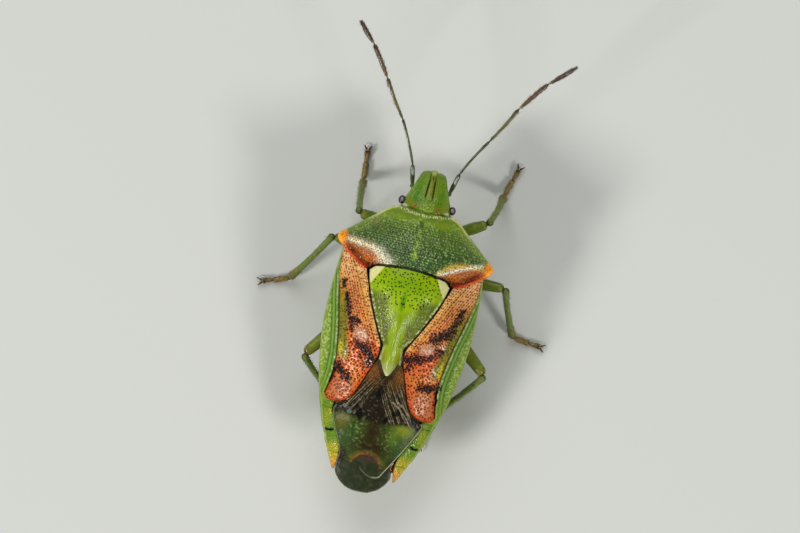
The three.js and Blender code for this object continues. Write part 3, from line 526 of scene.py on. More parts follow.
# ------------------------------------------------------------------ scutellum
SHIELD_SKIN = table([[-0.80, 1.255], [-1.15, 1.18], [-1.5, 1.062], [-2, 0.847], [-2.5, 0.600], [-2.80, 0.415], [-2.94, 0.318], [-3.04, 0.325], [-3.2, 0.352], [-3.38, 0.342], [-3.55, 0.270], [-3.70, 0.165], [-3.79, 0.08], [-3.82, 0.03]])
def make_shield():
    def side(sg):
        return lambda t: [sg * float(SHIELD_SKIN(mix(-0.80, -3.82, t))), mix(-0.80, -3.82, t)]
    def front(s):
        u = mix(-1.24, 1.24, s); a = abs(u)
        return [u, -0.545 - 0.12 * (a / 1.1) ** 2 - 0.10 * float(smooth(1.0, 1.24, a)) ** 2]
    U, V = coons(side(-1), side(1), front, None, 190, 280, ease=0.35)
    A = np.abs(U)
    d = edge_distance(U, V)
    half = SHIELD_SKIN(V)
    r = np.minimum(A / half, 1)
    Z = shieldZ(U, V) - 0.007 - 0.02 * smooth(-0.75, -0.60, V)
    pts = scatter(-1.15, 1.15, -1.75, -0.66, 0.118, 0.36, seed=5)
    ok = (np.abs(pts[:, 0]) < 0.90 + 0.42 * (-0.7 - pts[:, 1])) & (np.abs(pts[:, 0]) < 1.10 - 0.95 * (-1.05 - pts[:, 1])) & (pts[:, 1] > -1.68)
    ok &= rng.uniform(0, 1, len(pts)) < 0.93
    pts = pts[ok]
    dots = splat(U, V, pts, rng.uniform(0.019, 0.026, len(pts)), 3.0)
    fine = scatter(-1.1, 1.1, -3.0, -1.3, 0.068, 0.4, seed=11)
    finep = splat(U, V, fine, rng.uniform(0.014, 0.024, len(fine)))
    lower = smooth(-1.45, -1.85, V)
    wings = smooth(0.30, 0.60, r) * smooth(-1.25, -1.55, V) * (1 - smooth(-2.85, -2.98, V))
    keelw = mix(0.24, 0.10, smooth(-1.7, -2.5, V))
    keel = np.clip(bell(U, keelw) * smooth(-1.75, -1.95, V), 0, 1)
    finep *= np.clip(wings + 0.3 * lower, 0, 1) * (1 - keel) * (1 - smooth(-2.95, -3.05, V))
    edge_roll = 0.035 * (1 - np.sqrt(np.clip(1 - ((0.045 - np.minimum(d, 0.045)) / 0.045) ** 2, 0, 1)))
    side_groove = bell(r - 0.90, 0.05) * smooth(-1.0, -1.4, V) * (1 - smooth(-2.8, -3.0, V))
    rim = bell(d - 0.04, 0.025) * smooth(-1.1, -1.3, V) * (1 - smooth(-2.8, -3.0, V))
    hollow = lower * bell(r - 0.58, 0.24) * (1 - smooth(-2.62, -3.05, V))
    neck = bell(V + 2.93, 0.12) * smooth(0.55, 1.0, r)
    spoon = smooth(-2.86, -3.18, V)
    swell = spoon * (1 - r ** 2) * 0.022
    ridge = bell(U + 0.01, 0.05) * smooth(-2.2, -2.6, V) * (1 - smooth(-3.25, -3.45, V))
    Z = Z - edge_roll * (1 - spoon) - 0.020 * dots - 0.014 * finep - 0.02 * side_groove + 0.018 * rim - 0.05 * hollow - 0.016 * neck + swell + 0.018 * ridge - spoon * 0.05 * r ** 4
    wrinkle = (vnoise(U * 2.4 + V * 0.5, V, 0.09, 12) - 0.5) * lower * (1 - keel) * (1 - spoon)
    Z += 0.006 * wrinkle + 0.004 * (vnoise(U, V, 0.08, 3) - 0.5)
    # colour
    col = np.ones(U.shape + (3,)) * C(144, 176, 4)
    col = layer(col, C(110, 150, 4), bell(V + 1.0, 0.36) * (1 - smooth(0.35, 0.95, A)) * 0.65)
    col = layer(col, C(142, 172, 8), smooth(0.25, 0.7, vnoise(U, V, 0.25, 14)) * 0.35)
    arms = sum(np.exp(-(line_dist(U, V, [[s * 0.05, -2.05], [s * 0.28, -1.74], [s * 0.55, -1.50], [s * 0.78, -1.30]])[0] / 0.13) ** 2) for s in (-1, 1))
    col = layer(col, C(158, 182, 14), np.clip(arms, 0, 1) * 0.85)
    col = layer(col, C(98, 112, 26), wings * 0.97)
    col = layer(col, C(128, 158, 20), lower * bell(r - 0.26, 0.14) * 0.6)
    col = layer(col, C(96, 88, 42), sum(blob(U, V, s * 0.36, -2.45, 0.10, 0.40, turn=s * 0.33, soft=0.8) for s in (-1, 1)) * 0.75)
    col = layer(col, C(126, 148, 6), np.clip(keel, 0, 1) * 0.95)
    col = layer(col, C(56, 116, 6), blob(U, V, -0.03, -1.55, 0.07, 0.24, soft=0.8) * 0.85)
    col = layer(col, C(90, 138, 8), blob(U, V, -0.01, -1.15, 0.03, 0.45, soft=0.9) * 0.35)
    inner_line = 0.86 + 0.52 * (-0.70 - V)
    corner = smooth(-0.02, 0.02, A - inner_line + 0.015 * (vnoise(U, V, 0.12, 9) - 0.5)) * smooth(-1.26, -1.14, V)
    col = layer(col, C(224, 220, 150), corner)
    # painted highlight: pale glint specks along the lower side edges
    pale = smooth(0.44, 0.62, vnoise(U, V, 0.05, 15))
    col = layer(col, C(214, 216, 168), smooth(0.12, 0.05, d) * smooth(-1.20, -1.4, V) * (1 - smooth(-2.7, -2.9, V)) * pale * 0.85)
    # painted highlight: whitish glint specks on the olive flanks
    col = layer(col, C(160, 172, 96), wings * 0.45 * smooth(0.60, 0.75, vnoise(U, V, 0.05, 16, 1)) * 0.6)
    col = layer(col, C(140, 152, 20), spoon)
    col = layer(col, C(136, 164, 6), spoon * bell(U + 0.01, 0.11) * (1 - smooth(-3.25, -3.5, V)))
    col = layer(col, C(162, 172, 100), smooth(-3.32, -3.60, V) * 0.95)
    col = layer(col, C(206, 208, 150), spoon * smooth(0.105, 0.035, d) * 0.9)
    col = layer(col, C(40, 36, 16), smooth(0.014, 0.004, d) * (V > -2.95) * 0.55)
    m = np.clip(dots * 1.35 * (1 - corner), 0, 1) + 0.35 * finep
    col = layer(col, C(20, 30, 4), dots * (1 - corner) * 0.92)
    ob = plate("scutellum_skin", U, V, Z, col, {"pit": np.clip(m, 0, 1)}, M_SHIELD, skirt=((0.0, 0.03), (-0.008, 0.08), (-0.03, 0.15), (-0.06, 0.22)), edge_tint=C(30, 26, 12))
    return done(ob, ["scutellum"])

# ------------------------------------------------------------------ corium with clavus and outer strip
STRIP = [[2.15, -0.30], [2.14, -0.7], [2.11, -1.05], [2.01, -1.5], [1.91, -2.0], [1.79, -2.5], [1.70, -3.0], [1.625, -3.5], [1.60, -4.0], [1.645, -4.4], [1.70, -4.7], [1.72, -5.0]]
SUTURE = [[1.78, -0.60], [1.44, -1.20], [1.10, -1.9], [0.80, -2.48], [0.52, -2.95]]
CORIUM_SKIN_INNER = table([[-0.78, 1.33], [-0.9, 1.30], [-1.0, 1.265], [-1.15, 1.205], [-1.5, 1.085], [-2, 0.868], [-2.5, 0.622], [-2.85, 0.435], [-3.0, 0.385], [-3.25, 0.395], [-3.5, 0.455], [-3.8, 0.56], [-4.1, 0.66], [-4.5, 0.81], [-4.7, 0.93], [-4.85, 1.10], [-4.93, 1.30]])
PATCHES = {
    -1: [([[1.88, -1.32], [1.87, -1.50]], 0.050), ([[1.73, -1.68], [1.62, -1.95], [1.54, -2.22]], 0.062), ([[1.43, -2.38], [1.36, -2.66]], 0.075), ([[1.32, -2.34], [1.20, -2.46]], 0.070),
         ([[1.02, -3.02], [0.80, -3.18], [0.58, -3.40], [0.58, -3.52]], 0.150), ([[1.52, -3.84], [1.40, -3.96], [1.14, -4.14]], 0.095), ([[1.50, -3.72], [1.55, -3.98], [1.62, -4.36]], 0.040)],
    1: [([[1.79, -1.40], [1.70, -1.70], [1.60, -1.98]], 0.080), ([[1.60, -2.06], [1.46, -2.24], [1.10, -2.44]], 0.120), ([[1.22, -2.70], [1.46, -2.74]], 0.060),
        ([[1.30, -2.86], [0.90, -3.08], [0.52, -3.20]], 0.125), ([[0.62, -3.34], [0.55, -3.46]], 0.08), ([[1.56, -3.84], [1.30, -3.93], [1.06, -3.97]], 0.095), ([[1.56, -3.72], [1.58, -4.05], [1.64, -4.36]], 0.034)],
}
def make_corium(side, tag):
    def outer(t):
        v = mix(-0.28, -5.0, t)
        return [side * float(WING_HALF(v)), v]
    def inner(t):
        v = mix(-0.80, -4.93, t)
        return [side * float(CORIUM_SKIN_INNER(v)), v]
    def front(s0):
        s = s0 if side > 0 else 1 - s0
        return [side * mix(1.325, 2.168, s), mix(-0.80, -0.28, s) + 0.03 * math.sin(math.pi * s)]
    U, V = coons(inner if side > 0 else outer, outer if side > 0 else inner, front, None, 130, 400, ease=0.25)
    A = np.abs(U)
    sd = 11 if side > 0 else 23
    d = edge_distance(U, V)
    Z = wingZ(U, V)
    along = lambda P: np.interp(-V, [-p[1] for p in P], [p[0] for p in P])
    ds, ws = line_dist(A, V, STRIP)
    strip_u, sut_u = along(STRIP), along(SUTURE)
    q, cq = A - strip_u, A - sut_u
    corner = (A > 1.5) & (V < -4.70)
    past = np.where(corner, np.hypot(A - 1.5, V + 4.70) - 0.225, q)
    past = np.where((V < -4.70) & (A <= 1.5), -(V + 4.925), past)
    out_side = smooth(-0.015, 0.025, past)               # outer green strip, and what lies behind the orange lobe
    lobe_d = np.minimum(-past, d)                          # depth inside the orange part
    clav = smooth(0.03, -0.03, cq) * (V > -3.0)
    apex = blob(A, V, 1.25, -4.47, 0.36, 0.46, turn=-0.30, soft=0.35) * (1 - out_side)
    nz = vnoise(U, V, 0.09, sd + 6)
    nz2 = vnoise(U, V, 0.045, sd + 8, 1)
    # pits: rows along the wing in front, scattered behind
    pts = scatter(0.2, 2.3, -5.0, -2.6, 0.104, 0.36, seed=sd)
    rowp = []
    r0 = np.random.default_rng(sd + 40)
    for k in range(-9, 16):
        for v in np.arange(-2.75, -0.35, 0.086):
            vv = v + r0.uniform(-0.02, 0.02)
            base = np.interp(-vv, [-p[1] for p in SUTURE], [p[0] for p in SUTURE]) - 0.055 + k * 0.078 * (0.85 + 0.15 * (k > 0))
            rowp.append([base + r0.uniform(-0.014, 0.014), vv])
    pts = np.concatenate([pts[rng.uniform(0, 1, len(pts)) < 0.92], np.array(rowp)[rng.uniform(0, 1, len(rowp)) < 0.80]])
    pit = splat(A, V, pts, np.where(pts[:, 1] < -2.7, rng.uniform(0.020, 0.032, len(pts)), rng.uniform(0.017, 0.027, len(pts))))
    dense = np.zeros(U.shape)
    for path, w in PATCHES[side]:
        dense = np.maximum(dense, np.exp(-(line_dist(A, V, path)[0] / (w * 1.05)) ** 2))
    pale = blob(A + 0.10 * (nz - 0.5), V + 0.10 * (nz2 - 0.5), 1.03, -2.79, 0.25, 0.18, turn=0.45, soft=0.45)
    dense *= 1 - 0.9 * pale
    pit *= 1 - 0.7 * pale
    pts2 = scatter(0.30, 2.05, -4.5, -1.1, 0.072, 0.36, seed=sd + 1)
    grip = np.zeros(len(pts2))
    for path, w in PATCHES[side]:
        grip = np.maximum(grip, np.exp(-(line_dist(pts2[:, 0], pts2[:, 1], path)[0] / (w * 1.45)) ** 2))
    pts2 = pts2[grip > rng.uniform(0.15, 0.70, len(pts2))]
    pit2 = splat(A, V, pts2, rng.uniform(0.022, 0.040, len(pts2))) * (1 - 0.85 * pale)
    strip_pts = np.array([[np.interp(-v, [-p[1] for p in STRIP], [p[0] for p in STRIP]) + o + r0.uniform(-0.008, 0.008), v + r0.uniform(-0.012, 0.012)] for v in np.arange(-4.75, -0.5, 0.058) for o in (-0.012, 0.108, 0.215)])
    pit3 = splat(A, V, strip_pts, 0.018)
    edge_pts = scatter(1.6, 2.3, -5.0, -0.5, 0.070, 0.40, seed=sd + 9)
    pit5 = splat(A, V, edge_pts, 0.016) * smooth(0.22, 0.28, q)
    pit = pit * (1 - out_side) * (1 - 0.25 * apex)
    # relief
    edge_roll = 0.04 * (1 - np.sqrt(np.clip(1 - ((0.05 - np.minimum(d, 0.05)) / 0.05) ** 2, 0, 1)))
    lobe_roll = 0.05 * (1 - np.sqrt(np.clip(1 - ((0.10 - np.clip(lobe_d, 0, 0.10)) / 0.10) ** 2, 0, 1))) * smooth(-3.6, -4.2, V) * (1 - out_side)
    on = (V < -0.55) * (V > -4.75)
    groove = bell(q + 0.0, 0.022) * on
    gridge = (bell(q - 0.060, 0.026) + 0.45 * bell(q - 0.160, 0.030) + 0.25 * bell(q - 0.255, 0.03)) * on
    lines = 0.5 + 0.5 * np.cos(cq * 2 * math.pi / 0.078 + 1.1 * np.sin(V * 3 + sd))
    lined = smooth(-2.75, -2.35, V) * (1 - out_side) * smooth(-0.02, -0.10, q)
    vein = bell(cq, 0.020) * (V > -2.95)
    vein_r = (bell(cq - 0.055, 0.028) + bell(cq + 0.055, 0.026)) * (V > -2.9)
    Z = Z - edge_roll - lobe_roll - 0.022 * np.maximum(pit, pit2) - 0.014 * np.maximum(pit3, pit5) - 0.030 * groove + 0.026 * gridge - 0.022 * vein + 0.016 * vein_r + 0.010 * lines * lined + 0.03 * apex
    Z += 0.012 * (vnoise(U, V, 0.10, sd) - 0.5) + 0.010 * dense * (vnoise(U, V, 0.07, sd + 31) - 0.3)
    Z -= 0.045 * smooth(0.0, 0.28, q) * on + 0.05 * out_side * smooth(-4.6, -4.85, V)
    Z -= 0.04 * clav * smooth(0.12, 0.0, d) * (V > -2.9)
    # colour
    col = np.ones(U.shape + (3,)) * C(208, 104, 38)
    col = layer(col, C(234, 168, 106), smooth(-1.7, -1.0, V) * 0.85)
    col = layer(col, C(180, 88, 44), blob(A, V, 1.50, -1.85, 0.26, 0.62, turn=0.30, soft=0.6) * 0.85)
    col = layer(col, C(240, 180, 108), clav * 0.85)
    col = layer(col, C(242, 184, 104), lines ** 2 * lined * 0.55)
    col = layer(col, C(150, 74, 34), (1 - lines) ** 3 * lined * 0.45)
    col = layer(col, C(236, 164, 62), np.clip(vein_r, 0, 1) * 0.55)
    # painted highlight: pale pinkish-white glints between the pits at the front of the wing
    col = layer(col, C(244, 206, 160), smooth(-1.15, -0.75, V) * smooth(0.5, 0.75, vnoise(U, V, 0.06, sd + 12, 1)) * (1 - out_side) * 0.6)
    col = layer(col, C(198, 142, 106), np.clip(pale * 1.15, 0, 1) * 0.95)
    col = layer(col, C(204, 90, 32), blob(A, V, 1.08, -3.32, 0.46, 0.36, soft=0.5) * 0.9)
    col = layer(col, C(206, 104, 30), blob(A, V, 1.12, -3.76, 0.42, 0.24, soft=0.6) * 0.85)
    col = layer(col, C(206, 84, 40), smooth(0.20, 0.05, d) * (A < 1.2) * smooth(-2.9, -3.3, V) * (1 - smooth(-3.9, -4.3, V)) * 0.6)
    olive = smooth(-0.34, -0.20, q + 0.10 * smooth(-2.9, -3.5, V)) * smooth(-1.35, -1.9, V) * (1 - smooth(-3.35, -3.75, V)) * (1 - out_side)
    col = layer(col, C(128, 122, 28), np.clip(olive, 0, 1) * 0.97)
    col = layer(col, C(92, 96, 26), olive * bell(q + 0.20, 0.03) * 0.6)
    col = layer(col, C(206, 186, 36), blob(A, V, 1.54, -3.34, 0.07, 0.24, turn=-0.12, soft=0.6) * 0.9)
    col = layer(col, C(168, 130, 30), bell(q + 0.10, 0.06) * smooth(-1.0, -1.4, V) * (1 - smooth(-1.8, -2.1, V)) * 0.8)
    col = layer(col, C(190, 112, 68), apex)
    orange_rim = smooth(0.17, 0.05, lobe_d) * smooth(-3.75, -4.15, V) * (1 - out_side)
    col = layer(col, C(196, 84, 22), orange_rim * 0.95)
    col = layer(col, C(170, 52, 14), smooth(0.065, 0.02, lobe_d) * smooth(-3.9, -4.4, V) * (1 - out_side) * 0.85)
    # green outer strip
    col = layer(col, C(100, 138, 36), out_side)
    band = on * out_side
    col = layer(col, C(74, 96, 36), bell(q - 0.11, 0.022) * band * (0.25 + 0.7 * nz))
    col = layer(col, C(128, 168, 62), bell(q - 0.165, 0.030) * band * (0.35 + 0.6 * vnoise(U, V, 0.25, sd + 14)))
    col = layer(col, C(76, 104, 34), bell(q - 0.22, 0.02) * band * (0.1 + 0.7 * nz))
    col = layer(col, C(134, 160, 54), smooth(0.26, 0.33, q) * out_side * 0.8)
    col = layer(col, C(176, 192, 110), smooth(0.20, 0.30, q) * out_side * smooth(0.50, 0.66, vnoise(U, V, 0.045, sd + 4, 1)) * 0.8)
    # painted highlight: pale glints along the ridge of the green strip
    col = layer(col, C(184, 194, 150), bell(q - 0.055, 0.026) * band * smooth(0.38, 0.62, vnoise(U, V, 0.06, sd + 5, 1)) * 0.9)
    col = layer(col, C(112, 146, 50), bell(q - 0.055, 0.024) * band * 0.3)
    col = layer(col, C(128, 150, 40), out_side * smooth(-3.9, -4.7, V) * 0.75)
    col = layer(col, C(150, 172, 84), out_side * smooth(0.05, 0.02, d) * 0.7)
    col = layer(col, C(26, 22, 12), groove * smooth(-1.2, -1.7, V) * 0.85)
    col = layer(col, C(50, 26, 12), bell(cq, 0.013) * (V > -2.9) * 0.5)
    stain = smooth(0.62, 0.90, dense + 0.80 * (nz - 0.5) + 0.40 * (nz2 - 0.5)) * (1 - out_side * 0.5)
    col = layer(col, C(120, 44, 34), smooth(0.15, 0.6, dense) * (1 - out_side) * 0.5)
    col = layer(col, C(24, 9, 12), stain * 0.85)
    col = layer(col, C(14, 8, 10), np.clip(pit2 * 1.5, 0, 1) * 0.97)
    col = layer(col, C(58, 20, 10), np.clip(pit * 1.3, 0, 1) * 0.9 * (1 - 0.5 * olive))
    glint = smooth(0.60, 0.72, vnoise(U, V, 0.04, sd + 15, 1)) * np.clip(blob(A, V, 0.62, -3.52, 0.13, 0.16, soft=0.6) * (U < 0) + blob(A, V, 1.38, -2.62, 0.16, 0.12, soft=0.6) * (U > 0) + blob(A, V, 1.40, -3.50, 0.10, 0.20, soft=0.6) * 0.8, 0, 1)
    col = layer(col, C(246, 232, 222), glint * 0.8 * (1 - np.clip(pit2, 0, 1)))
    # brown outline towards membrane and shield
    col = layer(col, C(104, 46, 16), smooth(0.030, 0.006, d) * (A < strip_u) * (V < -2.9) * 0.7)
    col = layer(col, C(46, 28, 12), smooth(0.014, 0.004, d) * (A < strip_u) * (V > -2.9) * 0.6)
    pitm = np.clip(np.maximum.reduce([pit * 0.75, pit2, pit3 * 0.75, pit5 * 0.6]), 0, 1)
    ob = plate(f"corium_skin_{tag}", U, V, Z, col, {"pit": pitm}, M_CORIUM, skirt=((0.0, 0.03), (-0.01, 0.07), (-0.04, 0.11), (-0.10, 0.15)), edge_tint=None)
    return done(ob, [f"corium_{tag}"])

# ------------------------------------------------------------------ folded membranes: thin films, the right over the left
def vein_fan(side):
    """fine veins that run from the scutellum's tip out to the corner of the wing"""
    out = []
    for k in range(13):
        f = k / 12
        a = [mix(0.34, -0.06, f), mix(-3.60, -4.30, f)]
        b = [mix(1.16, 0.46, f) + 0.03 * math.sin(k * 5.1), mix(-4.86, -5.24, f) + 0.08 * math.sin(k * 2.3)]
        m = [mix(a[0], b[0], 0.5) + 0.05 * (0.5 - f), mix(a[1], b[1], 0.5) - 0.02]
        out.append([a, m, b])
    return out

def film_colour(U, V, A, seed, side):
    col = np.ones(U.shape + (3,)) * C(31, 25, 17)
    n1, n2 = vnoise(U, V, 0.30, seed), vnoise(U, V, 0.10, seed + 7)
    border_v = -5.12 - 0.10 * smooth(0.2, 0.8, A) + 0.14 * (n1 - 0.5) - 0.25 * bell(U, 0.35)
    dark = smooth(border_v - 0.07, border_v + 0.07, V)
    green = 1 - dark
    col = layer(col, C(52, 68, 20), green)
    col = layer(col, C(104, 100, 30), green * blob(U, V, -0.98, -5.42, 0.22, 0.24, soft=0.7) * 0.7)
    col = layer(col, C(124, 134, 28), green * blob(U, V, 0.90, -5.32, 0.24, 0.22, soft=0.7) * 0.85)
    col = layer(col, C(46, 80, 28), green * blob(A, V, 0.72, -5.85, 0.22, 0.34, soft=0.7) * 0.75)
    col = layer(col, C(98, 118, 34), green * blob(U, V, 0.62, -5.55, 0.16, 0.30, soft=0.8) * 0.6)
    col = layer(col, C(44, 32, 14), green * np.clip(bell(U - 0.02, 0.30) * (0.50 + 1.0 * n1), 0, 1) * 0.95)
    col = layer(col, C(40, 28, 12), blob(U, V, 0.05, -6.05, 0.62, 0.20, soft=0.9) * (0.5 + 0.7 * n2) * 0.9)
    # last part: a smoky disc behind an orange-brown arc
    rr = np.hypot(U * 1.0, (V + 6.66) * 1.10)
    inside = (V < -6.66) | (rr < 0.46)
    end = smooth(0.0, 0.06, np.where(V < -6.60, 1.0, 0.47 - rr)) * (V < -6.15)
    col = layer(col, C(42, 48, 30), end)
    col = layer(col, C(58, 66, 44), end * smooth(0.45, 0.75, n2) * 0.5)
    col = layer(col, C(70, 46, 40), end * blob(U, V, 0.10, -6.37, 0.42, 0.10, soft=0.7) * 0.8)
    arc = bell(rr - 0.455, 0.036) * smooth(-6.66, -6.54, V)
    col = layer(col, C(142, 84, 34), arc * (0.25 + 0.75 * smooth(0.3, 0.65, vnoise(U, V, 0.08, seed + 9))))
    col = layer(col, C(120, 104, 50), bell(rr - 0.52, 0.05) * (V > -6.5) * 0.35)
    tri = np.clip(blob(A, V, 0.83, -6.46, 0.20, 0.25, soft=0.5), 0, 1)
    col = layer(col, C(34, 18, 16), tri * 0.95)
    # painted highlight: pale glint specks on the green part; greyish specks on the dark part
    specks = smooth(0.70, 0.82, vnoise(U, V, 0.05, seed + 4, 1))
    col = layer(col, C(116, 132, 76), specks * green * (1 - end) * np.clip(blob(A, V, 0.52, -5.65, 0.26, 0.40, soft=0.8) + 0.15, 0, 1) * 0.6)
    col = layer(col, C(92, 84, 58), specks * dark * 0.6)
    # crossing fine lines of the hind part
    fine = smooth(0.80, 0.98, np.cos((U * 0.55 + V * side * 0.84) * 2 * math.pi / 0.085)) * green * (1 - end) * smooth(0.25, 0.5, A)
    col = layer(col, C(140, 148, 80), fine * 0.10)
    # golden brown by the scutellum, black marks
    col = layer(col, C(120, 72, 24), dark * blob(A, V, 0.42, -3.78, 0.16, 0.26, soft=0.8) * 0.9)
    col = layer(col, C(70, 46, 22), dark * blob(A, V, 0.25, -4.0, 0.22, 0.26, soft=0.9) * 0.6)
    black = blob(U, V, -0.56, -5.08, 0.095, 0.27, turn=0.42, soft=0.35) + blob(U, V, 0.54, -4.88, 0.15, 0.085, turn=0.55, soft=0.4) + blob(U, V, 0.30, -5.12, 0.06, 0.14, turn=-0.4, soft=0.5) + blob(U, V, -0.05, -4.36, 0.11, 0.17, turn=-0.3, soft=0.7)
    col = layer(col, C(6, 5, 5), np.clip(black, 0, 1) * 0.97)
    # painted highlight: two small pale glint rings on the left wing
    bead = sum(blob(U, V, bu, bv, 0.060, 0.050, soft=0.5) - blob(U, V, bu, bv, 0.030, 0.026, soft=0.5) for bu, bv in ((-0.84, -5.12), (-1.02, -4.98)))
    col = layer(col, C(110, 130, 130), np.clip(bead, 0, 1) * 0.7)
    return col, dark, end, np.clip(black, 0, 1)

def make_film(side, tag):
    upper = side > 0
    if upper:
        costal = [[0.370, -3.42], [0.47, -3.60], [0.60, -4.00], [0.74, -4.40], [0.92, -4.74], [1.24, -4.93], [1.42, -5.09], [1.30, -5.40], [1.12, -5.76], [0.94, -6.10], [0.76, -6.42], [0.60, -6.70], [0.50, -6.88]]
        anal = [[0.30, -3.44], [0.16, -3.70], [-0.02, -3.88], [-0.22, -4.15], [-0.45, -4.60], [-0.58, -5.10], [-0.60, -5.60], [-0.52, -6.05], [-0.38, -6.42], [-0.14, -6.74], [0.08, -6.89], [0.27, -6.95]]
        lift, back = -0.015, lambda s: [mix(0.27, 0.50, s), mix(-6.95, -6.88, s) - 0.030 * math.sin(math.pi * s)]
    else:
        costal = [[-0.370, -3.42], [-0.47, -3.60], [-0.60, -4.00], [-0.74, -4.40], [-0.92, -4.74], [-1.20, -4.93], [-1.345, -5.14], [-1.26, -5.50], [-1.10, -5.84], [-0.96, -6.12], [-0.87, -6.38], [-0.89, -6.74], [-0.86, -6.98], [-0.70, -7.20], [-0.48, -7.36], [-0.24, -7.432]]
        anal = [[-0.30, -3.44], [-0.16, -3.70], [0.02, -3.88], [0.22, -4.15], [0.40, -4.60], [0.52, -5.10], [0.60, -5.60], [0.66, -6.05], [0.70, -6.36], [0.78, -6.60], [0.83, -6.78], [0.78, -6.95], [0.67, -7.12], [0.50, -7.28], [0.24, -7.418]]
        lift, back = -0.060, lambda s: [mix(-0.24, 0.24, s), mix(-7.432, -7.418, s) - 0.014 * math.sin(math.pi * s)]
    cf, af = (lambda t: catmull(costal, t)), (lambda t: catmull(anal, t))
    U, V = coons(af if upper else cf, cf if upper else af, None, back, 130, 300, ease=0.0)
    A = np.abs(U)
    d = edge_distance(U, V)
    Z = wingZ(U, V) + lift
    col, dark, end, black = film_colour(U, V, A, 50, side)
    vein = np.zeros(U.shape)
    for k, path in enumerate(vein_fan(side)):
        p = [[side * c[0], c[1]] for c in path]
        dist, where = line_dist(U, V, p)
        vein = np.maximum(vein, np.exp(-(dist / 0.0100) ** 2) * (0.25 + 0.75 * smooth(0.35, 0.6, vnoise(U, V, 0.05, 31 + k, 1))) * (0.55 if k % 2 else 1.0))
    if upper:
        for path in ([[0.36, -4.55], [0.62, -4.72], [0.86, -4.94], [1.06, -5.20]], [[0.48, -4.50], [0.74, -4.66], [0.98, -4.90]]):
            vein = np.maximum(vein, np.exp(-(line_dist(U, V, path)[0] / 0.017) ** 2) * (0.5 + 0.5 * smooth(0.3, 0.6, vnoise(U, V, 0.05, 44, 1))) * 1.2)
    vein = np.clip(vein, 0, 1.2) * (1 - 0.8 * black)
    wr = vnoise(U, V, 0.30, 40) - 0.5
    fine = vnoise(U, V, 0.07, 42 + side) - 0.5
    ripple = np.cos((U * 0.55 + V * side * 0.84) * 2 * math.pi / 0.085)
    costa = bell(d - 0.020, 0.014) * (side * U > 0.2)
    Z = Z + 0.012 * vein + 0.020 * wr * (1 - dark) + 0.012 * fine * (0.4 + 0.6 * dark) + 0.0008 * ripple * (1 - dark) * (1 - end) + 0.012 * costa
    Z = Z - 0.035 * end * (1 - np.clip(np.hypot(U, (V + 6.9)) / 0.85, 0, 1) ** 2) * (0 if upper else 1) * 0.0
    Z -= 0.03 * smooth(0.10, 0.0, d) * (V > -5.0) * (A > 0.3)
    Z -= 0.05 * smooth(-6.6, -7.4, V)
    col = layer(col, mix(C(150, 112, 56), C(170, 156, 120), smooth(-3.9, -4.5, V)[..., None]), vein * np.clip(dark + 0.15, 0, 1) * 0.85)
    col = layer(col, C(186, 182, 150), costa * (V < -5.02) * (V > -6.9) * (0.75 if upper else 0.35))
    col = layer(col, C(120, 124, 96), smooth(0.045, 0.01, d) * (V < -6.7) * 0.5)
    col = layer(col, C(96, 78, 36), smooth(0.05, 0.0, d) * (V > -4.9) * 0.5)
    if upper:
        hook = np.exp(-(line_dist(U, V, [[0.56, -6.72], [0.50, -6.84], [0.40, -6.905], [0.27, -6.91]])[0] / 0.016) ** 2)
        col = layer(col, C(150, 154, 124), hook * 0.7)
    pit = smooth(0.5, 0.8, vnoise(U, V, 0.05, 61)) * dark * 0.3
    ob = plate(f"membrane_film_{tag}", U, V, Z, col, {"pit": pit}, M_MEMBRANE, skirt=((0.003, 0.008), (0.0, 0.018)), edge_tint=None, sole=0.020)
    return done(ob, ["membrane_right"] if upper else ["membrane_left", "membrane_end"])

